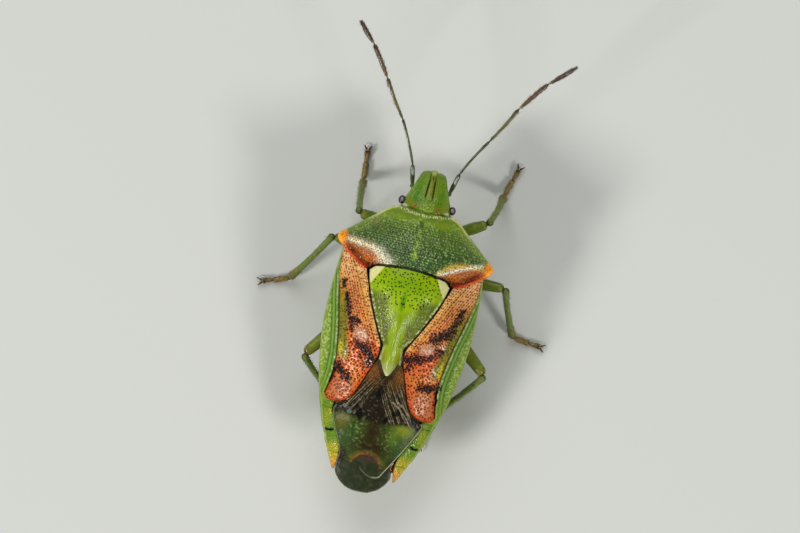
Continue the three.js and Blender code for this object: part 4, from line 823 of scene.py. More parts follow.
# ------------------------------------------------------------------ abdomen rim (connexivum)
RIM_SKIN_OUTER = table([[-4.90, 1.79], [-5.1, 1.745], [-5.4, 1.665], [-5.8, 1.51], [-6.1, 1.385], [-6.5, 1.195], [-6.75, 1.07], [-6.93, 0.965]])
RIM_SKIN_INNER = table([[-4.94, 1.36], [-5.2, 1.36], [-5.4, 1.27], [-5.8, 1.08], [-6.1, 0.935], [-6.3, 0.87], [-6.55, 0.86], [-6.8, 0.89], [-6.95, 0.93]])
def make_rim(side, tag):
    outer = lambda t: [side * float(RIM_SKIN_OUTER(mix(-4.90, -6.93, t))), mix(-4.90, -6.93, t)]
    inner = lambda t: [side * float(RIM_SKIN_INNER(mix(-4.94, -6.95, t))), mix(-4.94, -6.95, t)]
    U, V = coons(inner if side > 0 else outer, outer if side > 0 else inner, None, None, 60, 220, ease=0.2)
    A = np.abs(U)
    d = edge_distance(U, V)
    do = np.abs(A - RIM_SKIN_OUTER(V))
    Z = wingZ(U, V) - 0.05 - 0.04 * smooth(0.25, 0.5, do)
    mark_line = V + 5.79 + 0.018 * np.sin((A - 1.2) * 12)
    groove = np.clip(bell(V + 5.14, 0.020) + bell(mark_line, 0.022) + bell(V + 6.42, 0.016), 0, 1)
    pits = splat(U, V, scatter(-1.9, 1.9, -6.95, -4.9, 0.078, 0.4, seed=71), 0.017)
    bumps = splat(U, V, scatter(-1.9, 1.9, -6.95, -4.9, 0.09, 0.45, seed=75), 0.022)
    roll = 0.04 * (1 - np.sqrt(np.clip(1 - ((0.06 - np.minimum(d, 0.06)) / 0.06) ** 2, 0, 1)))
    lip = bell(do - 0.03, 0.022)
    Z = Z - roll - 0.025 * groove - 0.010 * pits + 0.010 * bumps + 0.012 * lip + 0.012 * (vnoise(U, V, 0.12, 72) - 0.5)
    col = np.ones(U.shape + (3,)) * C(98, 132, 22)
    col = layer(col, C(112, 142, 32), smooth(0.35, 0.7, vnoise(U, V, 0.25, 73)) * 0.5)
    col = layer(col, C(146, 152, 24), blob(A, V, 1.47, -5.42, 0.11, 0.28, soft=0.8) * 0.85)
    col = layer(col, C(170, 160, 22), smooth(-6.0, -6.32, V + 0.10 * (vnoise(U, V, 0.2, 74) - 0.5)) * 0.95)
    col = layer(col, C(216, 150, 30), smooth(-6.45, -6.72, V) * 0.85)
    col = layer(col, C(206, 96, 24), smooth(-6.66, -6.86, V) * 0.95)
    col = layer(col, C(120, 30, 16), smooth(-6.84, -6.93, V) * 0.9)
    col = layer(col, C(196, 206, 170), blob(A, V, 1.43, -6.04, 0.05, 0.10, soft=0.7) * (U < 0) * 0.7)
    # painted highlight: small glints on the bumps near the tail end
    col = layer(col, C(236, 226, 150), bumps * smooth(-6.2, -6.5, V) * 0.35)
    mark = bell(mark_line, 0.030) * smooth(0.14, 0.08, np.abs(A - 1.33)) + blob(A, V, 1.235, -5.77, 0.05, 0.035, soft=0.5)
    col = layer(col, C(10, 10, 8), np.clip(mark * 1.4, 0, 1))
    col = layer(col, C(60, 56, 20), bell(V + 5.14, 0.02) * 0.35 + bell(V + 6.42, 0.012) * 0.3)
    col = layer(col, C(160, 182, 96), lip * 0.7)
    col = layer(col, C(48, 22, 18), smooth(0.05, 0.01, np.abs(A - RIM_SKIN_INNER(V))) * smooth(-6.1, -6.3, V) * (1 - smooth(-6.7, -6.85, V)) * 0.8)
    ob = plate(f"connexivum_skin_{tag}", U, V, Z, col, {"pit": np.clip(pits * 0.45 + mark, 0, 1)}, M_RIM, skirt=((0.0, 0.04), (-0.004, 0.10), (-0.02, 0.18), (-0.06, 0.26)), edge_tint=C(120, 142, 50), thin=lambda v: 1 - 0.78 * smooth(-6.2, -6.93, v))
    return done(ob, [f"connexivum_{tag}"])

# ------------------------------------------------------------------ body below the plates: closed shells
def shell(name, U, V, top, under, ctop, cunder, masks, mat, puff=0.25):
    """closed body between two height maps over one plan grid"""
    rows, cols = U.shape
    n = rows * cols
    idx = np.arange(n).reshape(rows, cols)
    qt = np.stack([idx[:-1, :-1], idx[1:, :-1], idx[1:, 1:], idx[:-1, 1:]], -1).reshape(-1, 4)
    qb = qt[:, ::-1] + n
    ring = border(rows, cols)
    steps = 6
    co = np.concatenate([np.stack([U.ravel(), V.ravel(), top.ravel()], 1), np.stack([U.ravel(), V.ravel(), under.ravel()], 1)])
    a, b = co[ring], co[ring + n]
    nxt, prv = np.roll(a, -1, 0), np.roll(a, 1, 0)
    tan = (nxt - prv)[:, :2]
    tan /= np.maximum(np.hypot(tan[:, 0], tan[:, 1]), 1e-9)[:, None]
    out = np.stack([-tan[:, 1], tan[:, 0]], 1)
    ct, cb = ctop.reshape(-1, 3), cunder.reshape(-1, 3)
    verts, quads, cols, last = [co], [qt, qb], [ct, cb], ring
    for k in range(1, steps):
        w = math.pi * k / steps
        m = mix(a, b, 0.5 - 0.5 * math.cos(w))
        m[:, :2] += out * (a[:, 2] - b[:, 2])[:, None] * puff * math.sin(w)
        cur = 2 * n + (k - 1) * len(ring) + np.arange(len(ring))
        quads.append(np.stack([last, np.roll(last, -1), np.roll(cur, -1), cur], 1))
        verts.append(m)
        cols.append(cb[ring])
        last = cur
    quads.append(np.stack([last, np.roll(last, -1), np.roll(ring, -1) + n, ring + n], 1))
    mk = {k: np.concatenate([x[0].ravel(), x[1].ravel()] + [x[1].ravel()[ring]] * (steps - 1)) for k, x in masks.items()}
    return build(name, np.concatenate(verts), np.concatenate(quads), (), np.concatenate(cols), mk, mat)

def make_thorax():
    edge = lambda sg: (lambda t: [sg * (float(THORAX_HALF(mix(1.26, -1.95, t))) + 0.05), mix(1.26, -1.95, t)])
    U, V = coons(edge(-1), edge(1), lambda s: [mix(-0.85, 0.85, s), 1.26 - 0.06 * math.sin(math.pi * s)], None, 240, 190, ease=0.4)
    A = np.abs(U)
    pz = np.where(V > -0.85, pronotumZ(U, V), 9)
    wz = np.where(V < -0.33, np.minimum(wingZ(U, V), np.where(A < SHIELD_HALF(np.minimum(V, -0.72)) + 0.1, shieldZ(U, np.minimum(V, -0.72)), 9)), 9)
    top = np.minimum(pz, wz) - 0.20
    for _ in range(6):
        top[1:-1] = (top[:-2] + 2 * top[1:-1] + top[2:]) / 4
    r = np.minimum(A / (THORAX_HALF(V) + 0.05), 1)
    under = mix(THORAX_KEEL_Z(V), top - 0.16, r ** 1.8)
    # plates of the underside: grooves between the three segments, round the hips, and the scent pore
    seg = np.clip(bell(V - (0.16 + 0.10 * r), 0.025) + bell(V + (0.88 - 0.10 * r), 0.025), 0, 1)
    side_seam = bell(r - 0.62, 0.02)
    hips = [(0.55, 0.60), (0.63, -0.50), (0.68, -1.40)]
    cup = np.clip(sum(blob(A, V, hu, hv, 0.26, 0.22, soft=0.5) for hu, hv in hips), 0, 1)
    groove = bell(U, 0.13) * smooth(1.2, 0.9, V) * smooth(-1.2, -0.9, V)
    keel = bell(U, 0.06) * smooth(-0.85, -1.05, V)
    pore = np.exp(-(line_dist(A, V, [[0.95, -1.02], [1.25, -0.98], [1.45, -1.05]])[0] / 0.035) ** 2)
    dull = blob(A, V, 1.35, -0.98, 0.42, 0.17, turn=-0.1, soft=0.5)
    pts = scatter(-2.2, 2.2, -2.0, 1.3, 0.085, 0.38, seed=81)
    pit = splat(U, V, pts, rng.uniform(0.018, 0.028, len(pts))) * smooth(0.30, 0.42, r) * (1 - cup) * (1 - dull)
    under = under + 0.035 * seg + 0.02 * side_seam + 0.16 * cup + 0.06 * groove - 0.06 * keel - 0.035 * pore + 0.014 * pit + 0.008 * (vnoise(U, V, 0.1, 82) - 0.5)
    under = np.minimum(under, top - 0.02)
    base = np.ones(U.shape + (3,))
    ctop = base * C(40, 34, 18)
    cun = base * C(128, 146, 44)
    cun = layer(cun, C(150, 160, 62), smooth(0.35, 0.05, r) * 0.8)
    cun = layer(cun, C(108, 134, 34), smooth(0.6, 0.95, r) * 0.8)
    cun = layer(cun, C(176, 168, 96), dull * 0.7)
    cun = layer(cun, C(70, 70, 24), np.clip(seg * 0.7 + side_seam * 0.4, 0, 1))
    cun = layer(cun, C(84, 96, 30), cup * 0.5)
    ob = shell("thorax_skin", U, V, top, under, ctop, cun, {"pit": (base[..., 0] * 0, pit * 0.75)}, M_UNDER)
    return done(ob, ["thorax"])

def make_abdomen():
    edge = lambda sg: (lambda t: [sg * float(ABDOMEN_HALF(mix(-1.85, -6.62, t))), mix(-1.85, -6.62, t)])
    U, V = coons(edge(-1), edge(1), None, lambda s: [mix(-0.80, 0.80, s), -6.62 + 0.17 * math.sin(math.pi * s)], 240, 260, ease=0.4)
    A = np.abs(U)
    r = np.minimum(A / ABDOMEN_HALF(V), 1)
    top = wingZ(U, V) - 0.17 - 0.10 * (1 - r) * smooth(-6.0, -5.0, -V - 11.2)
    lap = smooth(-4.9, -5.2, V)
    top = wingZ(U, V) - mix(0.20, 0.15, lap) - 0.03 * smooth(0.5, 0.9, r)
    under = np.minimum(mix(ABDOMEN_KEEL_Z(V), top - 0.26, r ** 1.5), top - 0.10)
    seams = [-2.45, -3.15, -3.85, -4.55, -5.25, -5.85]
    bow = 0.14 * (1 - r ** 2) * -1
    seam = np.clip(sum(bell(V - (v + bow), 0.022) for v in seams), 0, 1)
    belly = sum(np.maximum(0, 1 - np.abs(V - (v - 0.35 + bow)) / 0.35) for v in seams) * 0.02
    keel = bell(U, 0.07) * (1 - smooth(-5.6, -6.1, -V - 11.7))
    air = np.clip(sum(blob(A, V, 0.80 * float(ABDOMEN_HALF(v)), v, 0.045, 0.035, soft=0.6) for v in (-2.8, -3.5, -4.2, -4.9, -5.55)), 0, 1)
    pts = scatter(-2.2, 2.2, -6.7, -1.8, 0.10, 0.40, seed=91)
    pit = splat(U, V, pts, 0.022) * smooth(0.2, 0.5, r)
    under = under + 0.03 * seam - belly - 0.045 * keel + 0.03 * air + 0.010 * pit
    under = np.minimum(under, top - 0.06)
    base = np.ones(U.shape + (3,))
    ctop = base * C(58, 60, 26)
    ctop = layer(ctop, C(110, 128, 34), smooth(0.62, 0.85, r) * 0.9)
    ctop = layer(ctop, C(34, 22, 14), blob(U, V, 0, -5.9, 0.5, 0.7, soft=0.8) * 0.8)
    ctop = layer(ctop, C(50, 24, 22), sum(blob(U, V, s * 0.82, -6.48, 0.16, 0.26, soft=0.6) for s in (-1, 1)) * 0.9)
    ctop = layer(ctop, C(176, 96, 34), smooth(-6.38, -6.5, V) * 0.7)
    cun = base * C(138, 158, 48)
    cun = layer(cun, C(164, 172, 70), smooth(0.45, 0.05, r) * 0.8)
    cun = layer(cun, C(114, 142, 34), smooth(0.65, 0.95, r) * 0.8)
    cun = layer(cun, C(206, 150, 60), smooth(-6.2, -6.55, V) * 0.7)
    cun = layer(cun, C(90, 96, 30), seam * 0.55)
    cun = layer(cun, C(26, 22, 14), air * 0.95)
    cun = layer(cun, C(30, 26, 12), np.clip(sum(bell(V - (v + 0.0), 0.03) for v in seams), 0, 1) * smooth(0.93, 0.99, r) * 0.8)
    ob = shell("abdomen_skin", U, V, top, under, ctop, cun, {"pit": (base[..., 0] * 0, pit * 0.35)}, M_UNDER)
    return done(ob, ["abdomen"])

# ------------------------------------------------------------------ head, eyes, ocelli
def make_head():
    half = table([[2.45, 0.335], [2.35, 0.395], [2.2, 0.445], [2.0, 0.52], [1.8, 0.595], [1.62, 0.655], [1.5, 0.70], [1.38, 0.72], [1.22, 0.70]])
    edge = lambda sg: (lambda t: [sg * float(half(mix(2.42, 1.22, t))), mix(2.42, 1.22, t)])
    def front(s):
        e = float(half(2.42)); u = mix(-e, e, s); a = abs(u)
        return [u, 2.42 + 0.080 * (1 - (a / e) ** 3.5) ** 0.5 - 0.034 * float(bell(np.array(a - 0.110), 0.035)) + 0.022 * float(bell(np.array(a), 0.06))]
    U, V = coons(edge(-1), edge(1), front, None, 190, 180, ease=0.35)
    A = np.abs(U)
    d = edge_distance(U, V)
    r = np.minimum(A / HEAD_HALF(V), 1)
    top = headZ(U, V)
    side_line = 0.082 + 0.030 * smooth(2.3, 1.65, V) + 0.012 * smooth(2.3, 2.5, V)
    sulcus = bell(A - side_line, 0.018) * smooth(1.58, 1.74, V) * (1 - 0.35 * smooth(2.2, 2.5, V))
    sulc_deep = bell(A - side_line, 0.021) * smooth(1.64, 1.74, V) * (1 - smooth(2.14, 2.30, V))
    tylus = (1 - smooth(0.05, side_line, A)) * smooth(1.65, 1.85, V)
    roll = 0.05 * (1 - np.sqrt(np.clip(1 - ((0.07 - np.minimum(d, 0.07)) / 0.07) ** 2, 0, 1))) * (V > 1.3)
    pts = scatter(-0.75, 0.75, 1.2, 2.6, 0.062, 0.40, seed=101)
    pit = splat(U, V, pts, rng.uniform(0.013, 0.020, len(pts))) * (1 - sulcus) * (1 - tylus * 0.8)
    rimz = bell(d - 0.05, 0.03) * smooth(1.6, 1.8, V)
    top = top - roll - 0.030 * sulcus - 0.025 * sulc_deep + 0.018 * tylus - 0.010 * pit + 0.012 * rimz + 0.006 * (vnoise(U * 2, V * 0.8, 0.12, 102) - 0.5)
    top -= 0.06 * smooth(1.34, 1.24, V)
    under = headUnderZ(U, V)
    buccula = bell(A - 0.17, 0.05) * smooth(1.4, 1.6, V) * (1 - smooth(2.2, 2.4, V))
    trough = bell(U, 0.09) * smooth(1.3, 1.5, V) * (1 - smooth(2.25, 2.4, V))
    under = under - 0.05 * buccula + 0.10 * trough
    under = np.minimum(under, top - 0.03)
    base = np.ones(U.shape + (3,))
    col = base * C(106, 142, 16)
    col = layer(col, C(116, 144, 16), smooth(1.75, 1.45, V) * 0.6)
    col = layer(col, C(72, 126, 30), blob(U, V, -0.36, 1.72, 0.16, 0.34, soft=0.8) * 0.75 + blob(U, V, 0.36, 1.80, 0.10, 0.30, soft=0.8) * 0.4)
    # painted shade: darker green on the front of the juga, where the head falls away
    col = layer(col, C(86, 116, 30), smooth(2.15, 2.45, V) * (1 - tylus) * 0.8)
    col = layer(col, C(128, 150, 22), bell(A - 0.20, 0.07) * smooth(1.6, 1.9, V) * 0.5)
    sp = scatter(-0.7, 0.7, 1.25, 2.5, 0.075, 0.45, seed=107)
    specks = splat(U, V, sp, rng.uniform(0.012, 0.024, len(sp)), 2.4) * (1 - tylus)
    col = layer(col, C(170, 196, 96), specks * (0.12 + 0.38 * smooth(2.1, 1.6, V)) * smooth(0.4, 0.7, vnoise(U, V, 0.2, 111)))
    mid = splat(U, V, scatter(-0.14, 0.14, 1.28, 1.72, 0.06, 0.35, seed=109), 0.020)
    col = layer(col, C(176, 194, 96), mid * 0.6)
    top += 0.008 * specks + 0.010 * mid
    col = layer(col, C(116, 124, 10), tylus * 0.95)
    # painted highlight on the tip of the tylus
    col = layer(col, C(186, 190, 50), tylus * smooth(2.38, 2.47, V) * 0.8)
    col = layer(col, C(120, 150, 60), rimz * 0.5)
    col = layer(col, C(40, 48, 12), np.clip(sulcus * 0.45 + sulc_deep * 0.75, 0, 1))
    col = layer(col, C(30, 26, 10), blob(U, V, 0, 2.30, 0.022, 0.05, soft=0.5) * 0.9)
    col = layer(col, C(74, 104, 22), bell(V - 1.60, 0.05) * (1 - smooth(0.3, 0.5, A)) * 0.4)
    col = layer(col, C(236, 232, 200), blob(A, V, 0.66, 1.33, 0.10, 0.045, soft=0.4) * 0.95)
    col = layer(col, C(150, 96, 14), np.clip(blob(A, V, 0.36, 1.37, 0.085, 0.085, soft=0.9), 0, 1) * 0.8)
    col = layer(col, C(150, 100, 20), bell(A - 0.56, 0.05) * bell(V - 1.50, 0.12) * 0.5)
    cun = base * C(140, 156, 58)
    cun = layer(cun, C(96, 120, 40), np.clip(trough, 0, 1) * 0.5)
    ob = shell("head_skin", U, V, top, under, col, cun, {"pit": (pit * 0.55, pit * 0.3)}, M_HEAD, puff=0.10)
    return done(ob, ["head"])

def ball(name, centre, radii, colour, mat, subdiv=4, dimple=0.0, turn=0.0, sheen=None):
    import bmesh
    bm = bmesh.new()
    bmesh.ops.create_icosphere(bm, subdivisions=subdiv, radius=1.0)
    co = np.array([v.co[:] for v in bm.verts])
    faces = np.array([[v.index for v in f.verts] for f in bm.faces])
    bm.free()
    n = co.copy()
    if dimple:
        # facets: bumps at an even spiral of points
        k = np.arange(420); ph = np.arccos(1 - 2 * (k + 0.5) / 420); th = math.pi * (1 + 5 ** 0.5) * k
        pts = np.stack([np.cos(th) * np.sin(ph), np.sin(th) * np.sin(ph), np.cos(ph)], 1)
        dist = np.sqrt(np.maximum(0, 2 - 2 * (co @ pts.T))).min(1)
        co = co * (1 + dimple * (bell(dist, 0.055) - 0.5))[:, None]
        shade = np.clip(bell(dist, 0.06), 0, 1)
    else:
        shade = np.ones(len(co))
    p = co * np.array(radii)
    c, s = math.cos(turn), math.sin(turn)
    p = np.stack([p[:, 0] * c - p[:, 1] * s, p[:, 0] * s + p[:, 1] * c, p[:, 2]], 1) + np.array(centre)
    q = np.concatenate([faces, faces[:, 2:3]], 1)
    lo, hi = colour
    col = lo + (hi - lo) * shade[:, None]
    # painted highlight: a pale patch on the upper side of the ball
    if sheen is not None:
        col = layer(col, sheen, smooth(0.80, 0.98, n @ (np.array([0.05, 0.12, 1.0]) / np.linalg.norm([0.05, 0.12, 1.0]))) * (0.35 + 0.65 * shade) * 0.8)
    return build(name, p, q, (), col, {"pit": shade * 0}, mat)

def make_eyes():
    for side, tag in ((-1, "left"), (1, "right")):
        # the eyes carry a painted highlight in the sheen colour
        eye = ball(f"eye_globe_{tag}", (side * 0.778, 1.475, 2.50), (0.112, 0.132, 0.142), (C(30, 15, 26), C(78, 52, 70)), M_EYE, subdiv=5, dimple=0.05, sheen=C(186, 180, 206))
        done(eye, [f"eye_{tag}"])
        oc = ball(f"ocellus_{tag}", (side * 0.35, 1.37, float(headZ(np.array(0.35), np.array(1.37))) - 0.012), (0.046, 0.040, 0.030), (C(112, 58, 8), C(140, 80, 14)), M_OCELLUS, subdiv=3)
        done(oc, [])

# ------------------------------------------------------------------ round limbs: swept tubes with their own frames
def path3(pts):
    """smooth curve through 3-D points: t in 0..1 -> point"""
    return lambda t: np.array(catmull(pts, t))

def profile(rows):
    a = np.array(rows, float)
    return lambda t: np.interp(t, a[:, 0], a[:, 1])

class Limb:
    """gathers swept pieces of one limb into one mesh, and keeps hair roots"""
    def __init__(self):
        self.co, self.q, self.col, self.pit, self.n = [], [], [], [], 0
        self.hair = []

    def add(self, co, q, col, pit=None):
        self.co.append(co); self.q.append(q + self.n); self.col.append(col)
        self.pit.append(np.zeros(len(co)) if pit is None else pit)
        self.n += len(co)

    def sweep(self, curve, radius, colour, around=26, along=60, flat=1.0, up=(0, 0, 1), ridge=0.0, lobes=3, rough=0.0, seed=1, cap=(1, 1)):
        raw = np.linspace(0, 1, along)
        t = 0.5 - 0.5 * np.cos(math.pi * raw) if all(cap) else raw
        t = mix(raw, t, 0.75)
        P = np.array([curve(x) for x in t])
        T = np.gradient(P, axis=0); T /= np.linalg.norm(T, axis=1)[:, None]
        length = np.linalg.norm(np.diff(P, axis=0), axis=1).sum()
        up = np.array(up, float)
        S = np.cross(T, up); S /= np.maximum(np.linalg.norm(S, axis=1), 1e-9)[:, None]
        W = np.cross(S, T)
        R = np.array([radius(x) for x in t])
        r0, r1 = R[0], R[-1]
        a = np.linspace(0, 2 * math.pi, around, endpoint=False)
        # rounded ends: the radius runs down to a pole
        e0, e1 = min(r0 / length, 0.45), min(r1 / length, 0.45)
        endcap = np.ones(along)
        endcap *= np.sqrt(np.clip(1 - np.clip(1 - t / max(e0, 1e-6), 0, 1) ** 2, 0, 1)) if cap[0] else 1
        endcap *= np.sqrt(np.clip(1 - np.clip(1 - (1 - t) / max(e1, 1e-6), 0, 1) ** 2, 0, 1)) if cap[1] else 1
        R = R * np.maximum(endcap, 0.02)
        A, TT = np.meshgrid(a, t)
        rr = R[:, None] * (1 + ridge * np.cos(lobes * A) * smooth(0.05, 0.2, TT) * (1 - smooth(0.85, 0.97, TT)))
        if rough:
            rr = rr * (1 + rough * (vnoise(A * 0.35 * 4, TT * length * 9, 0.5, seed) - 0.5))
        ring = P[:, None, :] + S[:, None, :] * (np.cos(A) * rr)[..., None] + W[:, None, :] * (np.sin(A) * rr * flat)[..., None]
        n = along * around
        idx = np.arange(n).reshape(along, around)
        nx = np.roll(idx, -1, 1)
        q = np.stack([idx[:-1], nx[:-1], nx[1:], idx[1:]], -1).reshape(-1, 4)
        p0, p1 = n, n + 1
        f0 = np.stack([nx[0], idx[0], np.full(around, p0), np.full(around, p0)], 1)
        f1 = np.stack([idx[-1], nx[-1], np.full(around, p1), np.full(around, p1)], 1)
        co = np.concatenate([ring.reshape(-1, 3), P[:1], P[-1:]])
        q = np.concatenate([q, f0, f1])
        c = colour(TT, A)
        c = np.concatenate([c.reshape(-1, 3), c[:1, 0], c[-1:, 0]])
        self.add(co, q, c)
        return dict(P=P, T=T, S=S, W=W, R=R, t=t, length=length, flat=flat)

    def ball(self, centre, r, colour, around=18, squash=(1, 1, 1)):
        rows = around // 2 + 1
        th = np.linspace(0, math.pi, rows)[1:-1]
        a = np.linspace(0, 2 * math.pi, around, endpoint=False)
        A, B = np.meshgrid(a, th)
        co = np.stack([np.cos(A) * np.sin(B), np.sin(A) * np.sin(B), np.cos(B)], -1).reshape(-1, 3)
        co = np.concatenate([co, [[0, 0, 1], [0, 0, -1]]]) * r * np.array(squash) + np.array(centre)
        m = len(th)
        idx = np.arange(m * around).reshape(m, around)
        nx = np.roll(idx, -1, 1)
        q = np.stack([idx[:-1], idx[1:], nx[1:], nx[:-1]], -1).reshape(-1, 4)
        top, bot = m * around, m * around + 1
        q = np.concatenate([q, np.stack([idx[0], nx[0], np.full(around, top), np.full(around, top)], 1), np.stack([nx[-1], idx[-1], np.full(around, bot), np.full(around, bot)], 1)])
        self.add(co, q, np.ones((len(co), 3)) * colour)

    def hairs(self, fr, t0, t1, count, length, lean=0.55, around=(0, 2 * math.pi), seed=1, thick=0.0055, colour=None):
        """rows of bristles on a swept piece, leaning towards its tip"""
        r = np.random.default_rng(seed)
        for _ in range(count):
            t = r.uniform(t0, t1); a = r.uniform(*around)
            i = min(max(np.searchsorted(fr["t"], t), 1), len(fr["t"]) - 1)
            f = (t - fr["t"][i - 1]) / max(fr["t"][i] - fr["t"][i - 1], 1e-9)
            g = lambda k: mix(fr[k][i - 1], fr[k][i], f)
            out = g("S") * math.cos(a) + g("W") * math.sin(a)
            root = g("P") + (g("S") * math.cos(a) + g("W") * math.sin(a) * fr["flat"]) * g("R") * 0.96
            L = length * r.uniform(0.7, 1.25)
            le = np.clip(lean + r.uniform(-0.12, 0.12), 0, 0.93)
            d = out * math.sqrt(1 - le * le) + g("T") * le + r.normal(0, 0.07, 3)
            d /= np.linalg.norm(d)
            self.hair.append((root, d, g("T"), L, thick * r.uniform(0.8, 1.15), C(150, 140, 100) if colour is None else colour, t, a))

    def finish(self, name, mat):
        ob = build(name, np.concatenate(self.co), np.concatenate(self.q), (), np.concatenate(self.col), {"pit": np.concatenate(self.pit)}, mat)
        return ob

def hair_mesh(name, hairs):
    """every bristle is a thin three-sided closed cone, curved towards the tip"""
    co, q, col, uv = [], [], [], []
    base = 0
    for root, d, along, L, th, c, t, a in hairs:
        side = np.cross(d, along); side /= max(np.linalg.norm(side), 1e-9)
        nrm = np.cross(side, d)
        pts = []
        for k, f in enumerate((0.0, 0.5)):
            p = root + d * L * f + along * L * 0.16 * f * f
            for j in range(3):
                w = 2 * math.pi * j / 3
                pts.append(p + (side * math.cos(w) + nrm * math.sin(w)) * th * (1 - 0.45 * f))
        pts.append(root + d * L + along * L * 0.16)
        co.extend(pts)
        b = base
        for j in range(3):
            k = (j + 1) % 3
            q.append([b + j, b + k, b + 3 + k, b + 3 + j])
            q.append([b + 3 + j, b + 3 + k, b + 6, b + 6])
        q.append([b, b + 2, b + 1, b + 1])
        col.extend([c * 0.8] * 3 + [c] * 3 + [c * 1.15] * 1)
        uv.extend([((a / (2 * math.pi)) % 1 * 0.99 + 0.0015 * (j % 3), t * 0.99 + 0.0015 * (j // 3)) for j in range(7)])
        base += 7
    ob = build(name, np.array(co), np.array(q), (), np.clip(np.array(col), 0, 1), {"pit": np.zeros(len(co))}, M_HAIR)
    me = ob.data
    layer_uv = me.uv_layers.new(name="OFBake")
    vi = np.zeros(len(me.loops), np.int32)
    me.loops.foreach_get("vertex_index", vi)
    layer_uv.data.foreach_set("uv", np.array(uv, np.float32)[vi].ravel())
    return done(ob, [])

# ------------------------------------------------------------------ beak
def make_beak():
    L = Limb()
    path = path3([[0, 2.02, 1.62], [0, 1.86, 1.44], [0, 1.45, 1.22], [0, 1.0, 1.13], [0, 0.4, 1.09], [0, -0.2, 1.07], [0, -0.72, 1.06]])
    rad = profile([(0, 0.15), (0.10, 0.165), (0.27, 0.150), (0.30, 0.120), (0.33, 0.150), (0.52, 0.125), (0.56, 0.098), (0.60, 0.120), (0.76, 0.100), (0.79, 0.075), (0.83, 0.092), (0.97, 0.060), (1, 0.03)])
    def colour(t, a):
        c = np.ones(t.shape + (3,)) * C(134, 150, 62)
        c = layer(c, C(92, 84, 36), sum(bell(t - k, 0.018) for k in (0.30, 0.56, 0.79)))
        c = layer(c, C(34, 24, 14), bell(np.sin(a) + 1, 0.10) * 0.6)
        return layer(c, C(26, 18, 12), smooth(0.86, 0.97, t))
    fr = L.sweep(path, rad, colour, around=32, along=150, flat=0.92)
    ob = L.finish("beak", M_UNDER)
    return done(ob, ["rostrum"])

# ------------------------------------------------------------------ antennae
FEELERS = {
    "left": [[0.58, 1.98, 2.03], [0.71, 2.58, 2.34], [1.32, 3.84, 2.66], [2.05, 4.93, 2.88], [2.68, 5.84, 2.98], [3.25, 6.45, 2.98]],
    "right": [[0.58, 1.98, 2.03], [0.74, 2.62, 2.34], [1.39, 3.79, 2.66], [2.02, 4.93, 2.88], [2.71, 5.87, 2.98], [3.46, 6.59, 2.98]],
}
SEGMENTS = [  # radius along each of the five, and its colours: base, middle, tip
    ([(0, 0.045), (0.10, 0.058), (0.35, 0.070), (0.80, 0.068), (0.95, 0.055), (1, 0.036)], (84, 104, 40), (58, 74, 34), (44, 54, 28)),
    ([(0, 0.026), (0.05, 0.034), (0.30, 0.036), (0.70, 0.038), (0.93, 0.046), (1, 0.034)], (46, 56, 30), (66, 78, 40), (58, 56, 30)),
    ([(0, 0.026), (0.06, 0.036), (0.40, 0.042), (0.75, 0.052), (0.94, 0.060), (1, 0.038)], (62, 62, 34), (98, 92, 40), (78, 58, 34)),
    ([(0, 0.026), (0.07, 0.040), (0.30, 0.055), (0.65, 0.064), (0.92, 0.058), (1, 0.034)], (168, 152, 92), (96, 64, 46), (58, 36, 34)),
    ([(0, 0.024), (0.08, 0.038), (0.35, 0.062), (0.60, 0.066), (0.85, 0.050), (1, 0.022)], (150, 134, 84), (70, 44, 38), (48, 30, 30)),
]
